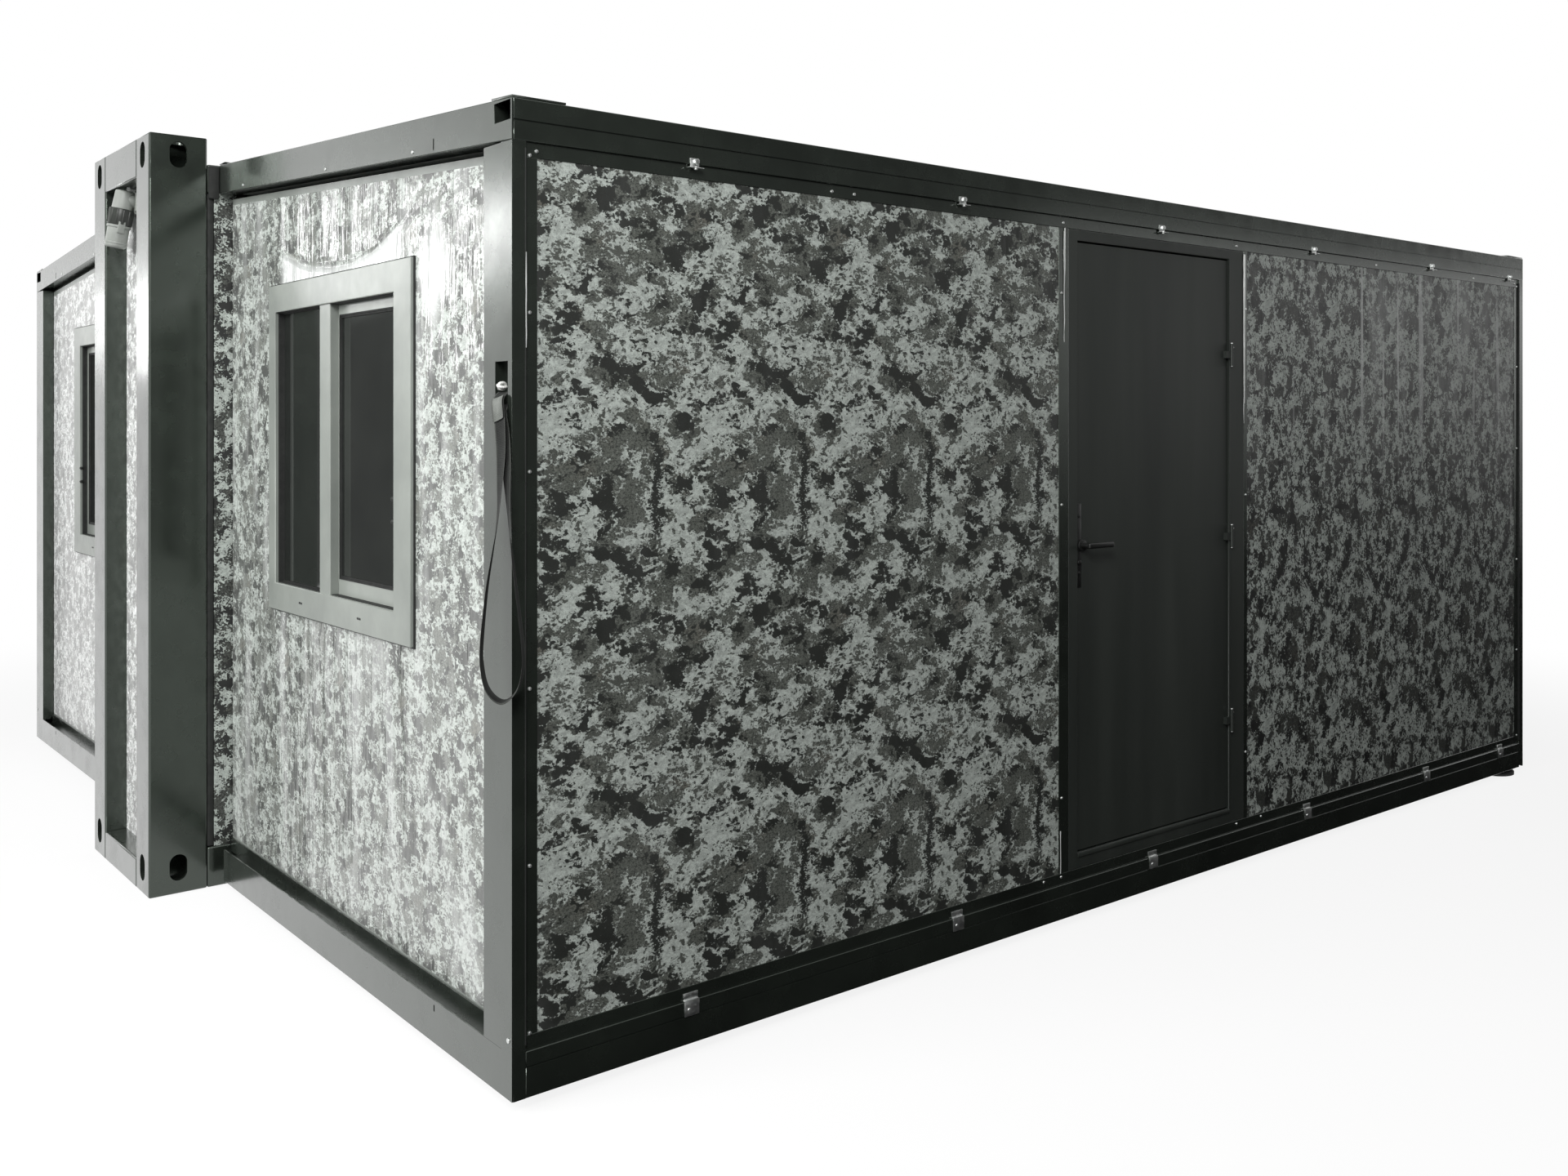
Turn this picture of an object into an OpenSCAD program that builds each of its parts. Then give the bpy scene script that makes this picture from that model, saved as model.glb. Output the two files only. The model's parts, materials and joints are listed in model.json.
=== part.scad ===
// Folding container office: a narrow core between two end frames, with a
// folding wing on each long side. Origin at the centre of the footprint on
// the ground, +X along the length, -Y towards the entrance, +Z up.

/* [Overall] */
// Length of each wing
wing_l = 5000; // [4600:10:6000]
// Depth of each wing, from the core to its outer face
wing_d = 2050; // [1900:10:2300]
// Width of the core
core_w = 700; // [640:10:800]
// Height of the end frames
core_h = 2500; // [2460:5:2700]
// How far the end frames stand out past the wings
frame_out = 220; // [200:5:300]
// Depth of the end frames along the length
frame_d = 185; // [160:5:190]

/* [Wings] */
// Clearance under the wing floors
wing_lift = 30; // [20:1:40]
// Height of the floor rails
floor_rail_h = 105; // [90:1:120]
// Height of the roof rails
roof_rail_h = 95; // [85:1:110]
// Top of the wing roof at its outer edge
eaves_z = 2280; // [2250:5:2300]
// Rise of the wing roof from its outer edge to the core
roof_rise = 135; // [110:5:150]
// Width of the rails
rail_w = 60; // [50:1:70]
// Width of the outer corner posts across the end
post_w = 135; // [120:1:150]

/* [Walls] */
// Thickness of the sandwich wall panels
wall_t = 50; // [40:1:60]
// Set-back of the end walls behind the frame's end
end_setback = 46; // [40:1:50]
// Set-back of the long walls behind the rails
side_setback = 8; // [4:1:12]
// Gap round a swinging end wall
wall_gap = 6; // [5:0.5:8]
// Height of the tracks above and below the long walls
track_h = 34; // [30:1:40]

/* [Door] */
// Distance from the wing's left end to the door frame
door_x = 1915; // [1700:5:2000]
// Width of the door opening
door_w = 807; // [780:1:900]
// Height of the door opening
door_h = 1899; // [1850:1:1910]
// Height of the door opening above the ground
door_z = 218; // [210:1:230]
// Thickness of the door leaf
leaf_t = 40; // [36:1:45]

/* [Windows] */
// Width of the window frame across its outer trim
window_w = 1050; // [950:10:1100]
// Height of the window frame across its outer trim
window_h = 1010; // [900:10:1050]
// Height of the window's lower edge above the ground
window_z = 970; // [900:5:1000]
// Distance from the wing's outer face to the window frame
window_in = 606; // [560:2:640]
// Width of the trim above and below a window
trim_w = 84; // [70:1:90]

/* [Hidden] */
$fn = 48;
EPS = 0.01;
half_core = core_w / 2;
half_w = half_core + wing_d;
half_l = wing_l / 2;
frame_x = half_l + frame_out;
frame_in = frame_x - frame_d;

// End frames
cast_h = 150;
core_post_w = 150;
cast_wall = 13;
cast_slot_rise = 11;
header_h = 130;
sill_h = 98;
recess_d = 72;
core_gap = 5;

// Levels
floor_z = wing_lift + floor_rail_h;
floor_top = floor_z + 7;
floor_t = 47;
wall_top = eaves_z - roof_rail_h;
roof_slope = roof_rise / wing_d;
skin_drop = 8;
rail_in = half_core + core_gap;
rail_out = half_w - rail_w;
core_roof_z = eaves_z + roof_rise;

// End walls
wall_out_x = half_l - end_setback;
wall_in_x = wall_out_x - wall_t;
wall_y0 = half_core + wall_gap;
wall_y1 = half_w - post_w - wall_gap;
wall_z0 = floor_top + 7;
wall_head_gap = 15;
foot_track_h = 12;
head_track_h = 20;
pin_r = 4;
knuckle_r = 6;
pin_clear = 0.05;
pivot_x = wall_in_x - knuckle_r;
pivot_y = wall_y0 + 1;
hinge_len = 110;
wall_hinges = [420, 1180, 1940];
plate_t = 4;
plate_in = half_core + 18;
floor_plate_in = half_core + 58;
channel_drop = 24;
lip_t = 4;
lip_z1 = wall_z0 + 8;
jamb_end = frame_in - 22;

// Windows
window_y1 = half_w - window_in;
window_y0 = window_y1 - window_w;
pane_y0 = window_y0 + 58;
pane_y1 = window_y1 - 106;
pane_z0 = window_z + trim_w;
pane_z1 = window_z + window_h - trim_w;
mullion_y0 = window_y0 + 412;
mullion_y1 = mullion_y0 + 80;
sash_y0 = mullion_y1 - 20;
liner_w = 20;
trim_out = 14;
glass_t = 5;
glass_gap = 1;
stile_w = 33;
sash_head = 36;
sash_foot = 50;

// Long walls
side_out = half_w - side_setback;
side_in = side_out - wall_t;
track_face = side_out + 2;
edge_x = half_l - 35;
edge_w = 33;
strip_w = 45;
right_strip_w = 20;
back_strip = 600;
// Middles of the clips at the roof rail and at the floor rail
head_clips = [-2001, -1059, -124, 795, 1677, 2368];
foot_clips = [-2009, -1076, -167, 755, 1641, 2288];
clip_w = 44;
head_plate_w = 26;
clip_t = 2.5;
clip_lip = 12;
panel_z0 = floor_z + track_h;
panel_z1 = wall_top - track_h;
jamb_left = 44;
jamb_right = 89;
unit_x0 = door_x - half_l;
unit_x1 = unit_x0 + jamb_left + door_w + jamb_right;
door_x0 = unit_x0 + jamb_left;
door_x1 = door_x0 + door_w;
door_gap = 5;
leaf_set = 6;
leaf_out = track_face - leaf_set;
door_pivot_x = door_x1 + 6;
door_knuckle_r = 6;
door_pin_r = 3.5;
door_pivot_y = track_face + door_knuckle_r + 1;
flap_t = 4;
door_hinge_len = 75;
door_hinges = [524, 1160, 1787];
lever_z = 1170;
lever_x = door_x0 + 20;
spindle_r = 8;
lever_l = 120;

// Feet: radius and distance in from both faces, at the left and the right end
foot_left = [45, 130];
foot_right = [85, 90];
stem_r = 18;

// Corners of the outer frames
plate_round = 50;
pocket_w = 77;
pocket_h = 45;
pocket_edge = 6;
pocket_deep = 60;

// Slot in the corner post where the pull strap comes out
strap_slot_y = half_w - 49;
strap_slot_w = 60;
strap_slot_z = 1560;
strap_slot_h = 130;
strap_w = 50;
strap_t = 3;
// Points down the middle of the pull strap, and the direction its width faces
STRAP = [
    [-2492, -2351, 1622, 90], [-2508, -2354, 1604, 90], [-2513, -2368, 1560, 90],
    [-2516, -2380, 1490, 86], [-2520, -2383, 1420, 78], [-2525, -2384, 1350, 68],
    [-2535, -2380, 1270, 60], [-2547, -2377, 1190, 56], [-2557, -2378, 1110, 54],
    [-2563, -2380, 1050, 53], [-2563, -2383, 1010, 53], [-2557, -2389, 970, 53],
    [-2544, -2398, 945, 53], [-2528, -2411, 934, 53], [-2512, -2423, 945, 53],
    [-2499, -2433, 970, 53], [-2493, -2438, 1010, 53], [-2494, -2438, 1060, 53],
    [-2500, -2435, 1120, 54], [-2508, -2432, 1190, 55], [-2515, -2428, 1260, 58],
    [-2518, -2420, 1330, 66], [-2516, -2408, 1400, 76], [-2511, -2392, 1470, 86],
    [-2507, -2374, 1530, 90], [-2505, -2357, 1575, 90], [-2494, -2353, 1592, 90]
];

// Colours
SAGE = "#8b938b";
DARK = "#3c403b";
CAMO = "#7c8178";
PALE = "#c9cbc6";
GREY = "#9aa09a";

// Top of a wing's roof at a distance y from the middle of the building
function roof_top(y) = eaves_z + (half_w - y) * roof_slope;

// A box between two corners
module span(low, high) translate(low) cube(high - low);

// Moves what is made at the +X +Y corner to the corner with these signs
module corner(sx, sy) {
    mirror([sx < 0 ? 1 : 0, 0, 0]) mirror([0, sy < 0 ? 1 : 0, 0]) children();
}

// The same at all four corners
module corners() for (sx = [-1, 1], sy = [-1, 1]) corner(sx, sy) children();

// The same on both long sides
module sides() for (sy = [-1, 1]) corner(1, sy) children();

// An outline in Y and Z drawn out along X from x0 to x1
module along_x(x0, x1) {
    translate([x0, 0, 0]) rotate([90, 0, 90]) linear_extrude(x1 - x0) children();
}

// A bar under the roof slope from y0 to y1, from depth d0 to d1 below the roof's top
module sloped(x0, x1, y0, y1, d0, d1) {
    along_x(x0, x1) polygon([
        [y0, roof_top(y0) - d1], [y1, roof_top(y1) - d1],
        [y1, roof_top(y1) - d0], [y0, roof_top(y0) - d0]
    ]);
}

// A slot with round ends, w wide and h long along Y, through a wall along Z
module slot_cut(w, h, t) {
    for (s = [-1, 1]) translate([0, s * (h - w) / 2, -t / 2]) cylinder(r = w / 2, h = t);
    translate([-w / 2, -(h - w) / 2, -t / 2]) cube([w, h - w, t]);
}

// Cast corner block, hollow, with a slot in its end, side and outer face
module casting(top) {
    y0 = half_core - core_post_w;
    cy = half_core - core_post_w / 2;
    cx = frame_x - frame_d / 2;
    z0 = top ? core_h - cast_h : 0;
    out_z = top ? core_h : 0;
    slot_z = z0 + cast_h / 2 + cast_slot_rise;
    difference() {
        span([frame_in, y0, z0], [frame_x, half_core, z0 + cast_h]);
        span([frame_in + cast_wall, y0 + cast_wall, z0 + cast_wall],
            [frame_x - cast_wall, half_core - cast_wall, z0 + cast_h - cast_wall]);
        translate([frame_x, cy, slot_z]) rotate([90, 0, 90]) slot_cut(56, 86, 40);
        translate([cx, half_core, slot_z]) rotate([90, 0, 0]) slot_cut(56, 86, 40);
        translate([cx, cy, out_z]) rotate([0, 0, 90]) slot_cut(60, 105, 40);
    }
}

module corner_castings() color(SAGE) corners() {
    casting(true);
    casting(false);
}

module core_posts() color(SAGE) corners() {
    span([frame_in, half_core - core_post_w, cast_h], [frame_x, half_core, core_h - cast_h]);
}

// Header and sill between the posts of each end frame
module core_end_beams() color(SAGE) for (sx = [-1, 1]) corner(sx, 1) {
    y = half_core - core_post_w;
    span([frame_in, -y, core_h - header_h], [frame_x, y, core_h]);
    span([frame_in, -y, 0], [frame_x, y, sill_h]);
}

module core_end_walls() color(CAMO) for (sx = [-1, 1]) corner(sx, 1) {
    y = half_core - core_post_w;
    x = frame_x - recess_d;
    span([x - wall_t, -y, sill_h], [x, y, core_h - header_h]);
}

module core_floor() color(GREY) {
    y = half_core - rail_w;
    span([-frame_in, -y, floor_top - floor_t], [frame_in, y, floor_top]);
}

// Core roof panel, crowned along its middle
module core_roof() color(GREY) {
    y = half_core - rail_w;
    z = core_roof_z - roof_rail_h;
    along_x(-frame_in, frame_in) polygon([
        [-y, z], [y, z], [y, z + 95], [0, z + 103], [-y, z + 95]
    ]);
}

module core_side_rails() color(DARK) sides() {
    y = half_core - rail_w;
    span([-frame_in, y, 0], [frame_in, half_core, floor_z]);
    span([-frame_in, y, core_roof_z - roof_rail_h], [frame_in, half_core, core_roof_z]);
}

// Posts beside the core's doorways, which the end walls hinge on
module core_jambs() color(CAMO) corners() {
    top = core_roof_z - roof_rail_h;
    span([wall_in_x, half_core - rail_w, floor_z], [jamb_end, half_core, top]);
}

// Floor side rails; the outer one runs between the corner posts and has a groove
module floor_side_rails() color(DARK) sides() {
    difference() {
        span([-edge_x, rail_out, wing_lift], [edge_x, half_w, floor_z]);
        span([-edge_x - 1, half_w - 3, floor_z - 38], [edge_x + 1, half_w + 1, floor_z - 34]);
    }
    x = half_l - rail_w;
    span([-x, rail_in, wing_lift], [x, rail_in + rail_w, floor_z]);
}

// Floor end rails: a bar behind a face plate, and a lip that shields the foot of the wall
module floor_end_rails() color(SAGE) corners() {
    z = floor_z - channel_drop;
    span([half_l - rail_w, rail_in + rail_w, wing_lift], [half_l - plate_t, rail_out, z]);
    span([wall_out_x + 2, wall_y0 + 2, z], [wall_out_x + 2 + lip_t, wall_y1, lip_z1]);
    along_x(half_l - plate_t, half_l) difference() {
        translate([floor_plate_in, wing_lift])
            square([half_w - floor_plate_in, floor_z - wing_lift]);
        corner_round();
        translate([half_w - 400, floor_z - 27]) square([6, 16]);
    }
}

// What the rounded corner of the face plate leaves to the corner post
module corner_round() translate([half_w - plate_round, floor_z - plate_round]) difference() {
    square(plate_round + 1);
    circle(r = plate_round);
}

module floor_panel(sy) color(GREY) corner(1, sy) {
    x = half_l - rail_w;
    span([-x, rail_in + rail_w, floor_top - floor_t], [x, rail_out, floor_top]);
}

module front_floor_panel() floor_panel(-1);
module back_floor_panel() floor_panel(1);

// The open tube end at each corner of the roof frame
module roof_pocket() corners() {
    y = half_w - pocket_edge;
    span([half_l - pocket_deep, y - pocket_w, eaves_z - 3 - pocket_h],
        [half_l + 1, y, eaves_z - 3]);
}

// Outer and inner roof rails; the outer one has a groove and open tube ends
module roof_side_rails() color(DARK) difference() {
    x = half_l - plate_t;
    sides() {
        along_x(-x, x) polygon([
            [rail_out, wall_top], [half_w, wall_top], [half_w, eaves_z],
            [rail_out, roof_top(rail_out)]
        ]);
        sloped(-x, x, rail_in, rail_in + rail_w, 0, roof_rail_h);
    }
    sides() span([-half_l - 1, half_w - 4, wall_top + 44], [half_l + 1, half_w + 1, wall_top + 48]);
    roof_pocket();
}

// Roof end rails: a bar behind a face plate that runs out to the corner
module roof_end_rails() color(SAGE) difference() {
    corners() {
        y = rail_in + rail_w;
        sloped(half_l - rail_w, half_l - plate_t, y, rail_out, 0, roof_rail_h);
        sloped(half_l - plate_t, half_l, plate_in, half_w, 0, roof_rail_h);
    }
    roof_pocket();
    corners() sloped(half_l - plate_t - 1, half_l + 1, half_w - 403, half_w - 397, 58, 86);
}

module roof_panel(sy) color(GREY) corner(1, sy) {
    x = half_l - rail_w;
    sloped(-x, x, rail_in + rail_w, rail_out, skin_drop, roof_rail_h);
}

module front_roof_panel() roof_panel(-1);
module back_roof_panel() roof_panel(1);

// A corner post: a flange across the end, a box behind the long wall and a foot
module outer_post(sx, sy) corner(sx, sy) {
    foot_z = sx < 0 ? wing_lift : 2 * wing_lift;
    span([edge_x, half_w - post_w, floor_z], [half_l, half_w, wall_top]);
    span([wall_in_x, half_w - post_w, floor_top], [edge_x, side_in - 2, wall_top]);
    span([edge_x, rail_out, foot_z], [half_l - plate_t, half_w, floor_z]);
    along_x(half_l - plate_t, half_l) intersection() {
        corner_round();
        square([half_w, floor_z]);
    }
}

// The front left post has a slot that the pull strap comes out of
module corner_posts() color(SAGE) {
    difference() {
        outer_post(-1, -1);
        span([-half_l - 1, -strap_slot_y - strap_slot_w / 2, strap_slot_z],
            [-half_l + 30, -strap_slot_y + strap_slot_w / 2, strap_slot_z + strap_slot_h]);
    }
    for (s = [[-1, 1], [1, -1], [1, 1]]) outer_post(s[0], s[1]);
}

// A domed foot of radius r on a stem, set in from both faces of its corner
module foot(r, in) translate([half_l - in, half_w - in, 0]) {
    cylinder(r = stem_r, h = floor_top - floor_t);
    cylinder(r = r, h = 12);
    translate([0, 0, 12]) cylinder(r1 = r, r2 = r - 20, h = wing_lift - 12);
}

module wing_feet() color(DARK) for (sy = [-1, 1]) {
    corner(-1, sy) foot(foot_left[0], foot_left[1]);
    corner(1, sy) foot(foot_right[0], foot_right[1]);
}

// A panel of a long wall from x0 to x1
module side_panel(x0, x1) {
    span([x0, side_in, panel_z0], [x1, side_out, panel_z1]);
}

module front_wall_left() color(CAMO) corner(1, -1)
    side_panel(-edge_x + edge_w, unit_x0 - strip_w);

module front_wall_right() color(CAMO) corner(1, -1)
    side_panel(unit_x1 + right_strip_w, edge_x - edge_w);

module back_wall() color(CAMO) {
    side_panel(-edge_x + edge_w, -back_strip - strip_w);
    side_panel(-back_strip, back_strip);
    side_panel(back_strip + strip_w, edge_x - edge_w);
}

// Tracks above and below both long walls
module wall_tracks() color(DARK) sides() {
    span([-edge_x, side_in - 2, floor_z], [edge_x, track_face, panel_z0]);
    span([-edge_x, side_in - 2, panel_z1], [edge_x, track_face, wall_top]);
}

// Clips that hold a long wall to its rails: plates on the rails' faces, with a lip
// under the roof rail or a tab over the floor rail and up the track
module wall_clips() color(GREY) sides() {
    for (x = head_clips) translate([x, 0, 0]) {
        span([-head_plate_w / 2, half_w, wall_top - 8], [head_plate_w / 2, half_w + clip_t, wall_top + 15]);
        span([-clip_w / 2, half_w, wall_top - 10], [clip_w / 2, half_w + clip_lip, wall_top - 8 + EPS]);
    }
    for (x = foot_clips) translate([x, 0, 0]) {
        span([-clip_w / 2, half_w, floor_z - 36], [clip_w / 2, half_w + clip_t, floor_z + clip_t]);
        span([-clip_w / 2, track_face, floor_z], [clip_w / 2, half_w + EPS, floor_z + clip_t]);
        span([-clip_w / 2, track_face, floor_z], [clip_w / 2, track_face + clip_t, floor_z + 19]);
    }
}

// An upright strip of a long wall that starts at x
module upright(x, w) span([x, side_in - 2, panel_z0], [x + w, track_face, panel_z1]);

module wall_edge_strips() color(DARK) {
    sides() for (x = [-edge_x, edge_x - edge_w]) upright(x, edge_w);
    corner(1, -1) {
        upright(unit_x0 - strip_w, strip_w);
        upright(unit_x1, right_strip_w);
    }
    for (x = [-back_strip - strip_w, back_strip]) upright(x, strip_w);
}

// Door frame with a stop behind the leaf
module door_frame() color(DARK) corner(1, -1) difference() {
    span([unit_x0, side_in - 2, panel_z0], [unit_x1, track_face, panel_z1]);
    span([door_x0, side_in - 3, door_z], [door_x1, track_face + 1, door_z + door_h]);
}

// The outer two knuckles of a hinge, joined by its pin
module fixed_knuckles(z, length, r, pin) {
    third = length / 3;
    for (dz = [-third, third]) translate([0, 0, z + dz - third / 2]) cylinder(r = r, h = third);
    translate([0, 0, z - third]) cylinder(r = pin, h = 2 * third);
}

// What fixes the outer two knuckles, repeated at both of their heights
module fixed_flaps(z, length) {
    third = length / 3;
    for (dz = [-third, third]) translate([0, 0, z + dz - third / 2]) linear_extrude(third) children();
}

// The middle knuckle, bored for the pin
module moving_knuckle(z, length, r, pin) {
    third = length / 3;
    translate([0, 0, z - third / 2 + 0.5]) difference() {
        cylinder(r = r, h = third - 1);
        translate([0, 0, -1]) cylinder(r = pin + pin_clear, h = third + 2);
    }
}

module door_hinges() color(DARK) corner(1, -1) for (z = door_hinges) {
    translate([door_pivot_x, door_pivot_y, 0])
        fixed_knuckles(z, door_hinge_len, door_knuckle_r, door_pin_r);
    fixed_flaps(z, door_hinge_len) translate([door_pivot_x, track_face]) square([22, flap_t]);
}

module end_wall_hinges() color(GREY) corners() for (z = wall_hinges) {
    translate([pivot_x, pivot_y, 0]) fixed_knuckles(z, hinge_len, knuckle_r, pin_r);
    fixed_flaps(z, hinge_len) translate([wall_in_x - flap_t, pivot_y - 42]) square([flap_t, 40]);
}

// Door leaf with its hinge flaps and the bore for the lever's spindle
module door_leaf() color(DARK) corner(1, -1) difference() {
    third = door_hinge_len / 3;
    union() {
        span([door_x0 + door_gap, leaf_out - leaf_t, door_z + door_gap],
            [door_x1 - door_gap, leaf_out, door_z + door_h - door_gap]);
        for (z = door_hinges) {
            translate([door_pivot_x, door_pivot_y, 0])
                moving_knuckle(z, door_hinge_len, door_knuckle_r, door_pin_r);
            translate([0, 0, z - third / 2 + 0.5]) {
                span([door_x1 - 24, leaf_out - EPS, 0],
                    [door_x1 - 2, door_pivot_y, third - 1]);
                span([door_x1 - 24, track_face + 1.5, 0],
                    [door_pivot_x - door_pin_r - 1.5, door_pivot_y, third - 1]);
            }
        }
    }
    translate([lever_x, leaf_out + 1, lever_z]) rotate([90, 0, 0])
        cylinder(r = spindle_r + 0.5, h = leaf_t + 2);
}

// Lever handles on both faces of the door, on one spindle
module door_lever() color(DARK) corner(1, -1) translate([lever_x, 0, lever_z]) {
    for (s = [0, 1]) {
        y = s == 0 ? leaf_out + 32 : leaf_out - leaf_t - 46;
        translate([-8, y, -9]) cube([lever_l, 14, 18]);
    }
    translate([0, leaf_out + 40, 0]) rotate([90, 0, 0]) cylinder(r = spindle_r, h = leaf_t + 80);
}

// One end wall panel, cut for its window
module end_panel() difference() {
    z0 = wall_z0 + foot_track_h;
    drop = roof_rail_h + wall_head_gap + head_track_h;
    along_x(wall_in_x, wall_out_x) polygon([
        [wall_y0, z0], [wall_y1, z0], [wall_y1, roof_top(wall_y1) - drop],
        [wall_y0, roof_top(wall_y0) - drop]
    ]);
    span([wall_in_x - 1, pane_y0 - liner_w, pane_z0 - liner_w],
        [wall_out_x + 1, pane_y1 + liner_w, pane_z1 + liner_w]);
}

// Tracks along the foot and head of an end wall, and its hinge flaps
module end_tracks() {
    third = hinge_len / 3;
    span([wall_in_x, wall_y0, wall_z0], [wall_out_x, wall_y1, wall_z0 + foot_track_h]);
    d = roof_rail_h + wall_head_gap;
    sloped(wall_in_x, wall_out_x, wall_y0, wall_y1, d, d + head_track_h);
    for (z = wall_hinges) {
        translate([pivot_x, pivot_y, 0]) moving_knuckle(z, hinge_len, knuckle_r, pin_r);
        translate([0, 0, z - third / 2 + 0.5])
            span([wall_in_x - flap_t, pivot_y + pin_r + 1, 0], [wall_in_x, pivot_y + 42, third - 1]);
    }
}

// The opening of a window, grown by g, from x0 to x1
module pane(g, x0, x1) {
    span([x0, pane_y0 - g, pane_z0 - g], [x1, pane_y1 + g, pane_z1 + g]);
}

// Window: trim outside and in, a fixed light towards the core and a sliding sash
module end_window() {
    x = wall_out_x;
    difference() {
        union() {
            span([x, window_y0, window_z], [x + trim_out, window_y1, window_z + window_h]);
            pane(liner_w, wall_in_x, x + EPS);
            pane(liner_w + 20, wall_in_x - 4, wall_in_x);
        }
        pane(0, wall_in_x - 5, x + trim_out + 1);
    }
    span([x - 30, mullion_y0, pane_z0 - EPS], [x + 8, mullion_y1, pane_z1 + EPS]);
    difference() {
        span([x - 34, sash_y0, pane_z0 - EPS], [x - 18, pane_y1 + EPS, pane_z1 + EPS]);
        span([x - 35, sash_y0 + stile_w, pane_z0 + sash_foot],
            [x - 17, pane_y1 - stile_w, pane_z1 - sash_head]);
    }
}

module end_glass() {
    x = wall_out_x;
    g = glass_gap;
    span([x - 20, pane_y0 + g, pane_z0 + g], [x - 20 + glass_t, mullion_y0 - g, pane_z1 - g]);
    span([x - 28, sash_y0 + stile_w + g, pane_z0 + sash_foot + g],
        [x - 28 + glass_t, pane_y1 - stile_w - g, pane_z1 - sash_head - g]);
}

module front_left_wall() color(CAMO) corner(-1, -1) end_panel();
module front_left_tracks() color(GREY) corner(-1, -1) end_tracks();
module front_left_window() color(SAGE) corner(-1, -1) end_window();
module front_left_glass() color(DARK) corner(-1, -1) end_glass();
module front_right_wall() color(CAMO) corner(1, -1) end_panel();
module front_right_tracks() color(GREY) corner(1, -1) end_tracks();
module front_right_window() color(SAGE) corner(1, -1) end_window();
module front_right_glass() color(DARK) corner(1, -1) end_glass();
module back_left_wall() color(CAMO) corner(-1, 1) end_panel();
module back_left_tracks() color(GREY) corner(-1, 1) end_tracks();
module back_left_window() color(SAGE) corner(-1, 1) end_window();
module back_left_glass() color(DARK) corner(-1, 1) end_glass();
module back_right_wall() color(CAMO) corner(1, 1) end_panel();
module back_right_tracks() color(GREY) corner(1, 1) end_tracks();
module back_right_window() color(SAGE) corner(1, 1) end_window();
module back_right_glass() color(DARK) corner(1, 1) end_glass();

// Capped power inlet that points down and out, high in the recess of the left end
module power_inlet() color(PALE) translate([-frame_x + recess_d, 60, 2362]) {
    span([-8, -45, -84], [0, 45, 4]);
    translate([-40, 0, 0]) rotate([0, 8, 0]) {
        translate([0, 0, -8]) cylinder(r1 = 35, r2 = 28, h = 8);
        translate([0, 0, -72]) cylinder(r = 35, h = 64 + EPS);
        translate([0, 0, -110]) cylinder(r = 41, h = 42);
        translate([0, 0, -176]) cylinder(r = 38, h = 70);
        translate([0, 0, -176]) sphere(r = 38);
    }
}

// One ring of the pull strap: eight points round a flat oval
function strap_ring(p, tilt, dir) = [
    for (i = [0:7])
    let (a = 45 * i + 22.5, u = strap_w / 2 * cos(a) / cos(22.5), v = strap_t / 2 * sin(a) / sin(22.5))
    p + u * [cos(dir), sin(dir), 0] + v * tilt
];

function unit(v) = v / norm(v);

// Direction across the strap's thickness at point i
function strap_tilt(i) =
    let (
        n = len(STRAP) - 1,
        a = STRAP[max(i - 1, 0)],
        b = STRAP[min(i + 1, n)],
        d = [b[0] - a[0], b[1] - a[1], b[2] - a[2]],
        w = [cos(STRAP[i][3]), sin(STRAP[i][3]), 0]
    ) unit(cross(d, w));

module pull_strap() color("#1d1e1d") {
    n = len(STRAP);
    rings = [
        for (i = [0:n - 1])
        strap_ring([STRAP[i][0], STRAP[i][1], STRAP[i][2]], strap_tilt(i), STRAP[i][3])
    ];
    sides = [
        for (i = [0:n - 2], k = [0:7], half = [0, 1])
        half == 0 ? [8 * i + k, 8 * i + (k + 1) % 8, 8 * i + 8 + k]
            : [8 * i + (k + 1) % 8, 8 * i + 8 + (k + 1) % 8, 8 * i + 8 + k]
    ];
    ends = [[for (k = [7:-1:0]) k], [for (k = [0:7]) 8 * (n - 1) + k]];
    polyhedron([for (r = rings, p = r) p], concat(sides, ends), convexity = 4);
}

corner_castings();
core_posts();
core_end_beams();
core_end_walls();
core_floor();
core_roof();
core_side_rails();
core_jambs();
floor_side_rails();
floor_end_rails();
front_floor_panel();
back_floor_panel();
roof_side_rails();
roof_end_rails();
front_roof_panel();
back_roof_panel();
corner_posts();
wing_feet();
front_wall_left();
front_wall_right();
back_wall();
wall_tracks();
wall_clips();
wall_edge_strips();
door_frame();
door_hinges();
end_wall_hinges();
door_leaf();
door_lever();
front_left_wall();
front_left_tracks();
front_left_window();
front_left_glass();
front_right_wall();
front_right_tracks();
front_right_window();
front_right_glass();
back_left_wall();
back_left_tracks();
back_left_window();
back_left_glass();
back_right_wall();
back_right_tracks();
back_right_window();
back_right_glass();
power_inlet();
pull_strap();
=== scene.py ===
import functools
import json
import math
import random

import bmesh
import bpy
from mathutils import Euler, Matrix, Vector


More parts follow.
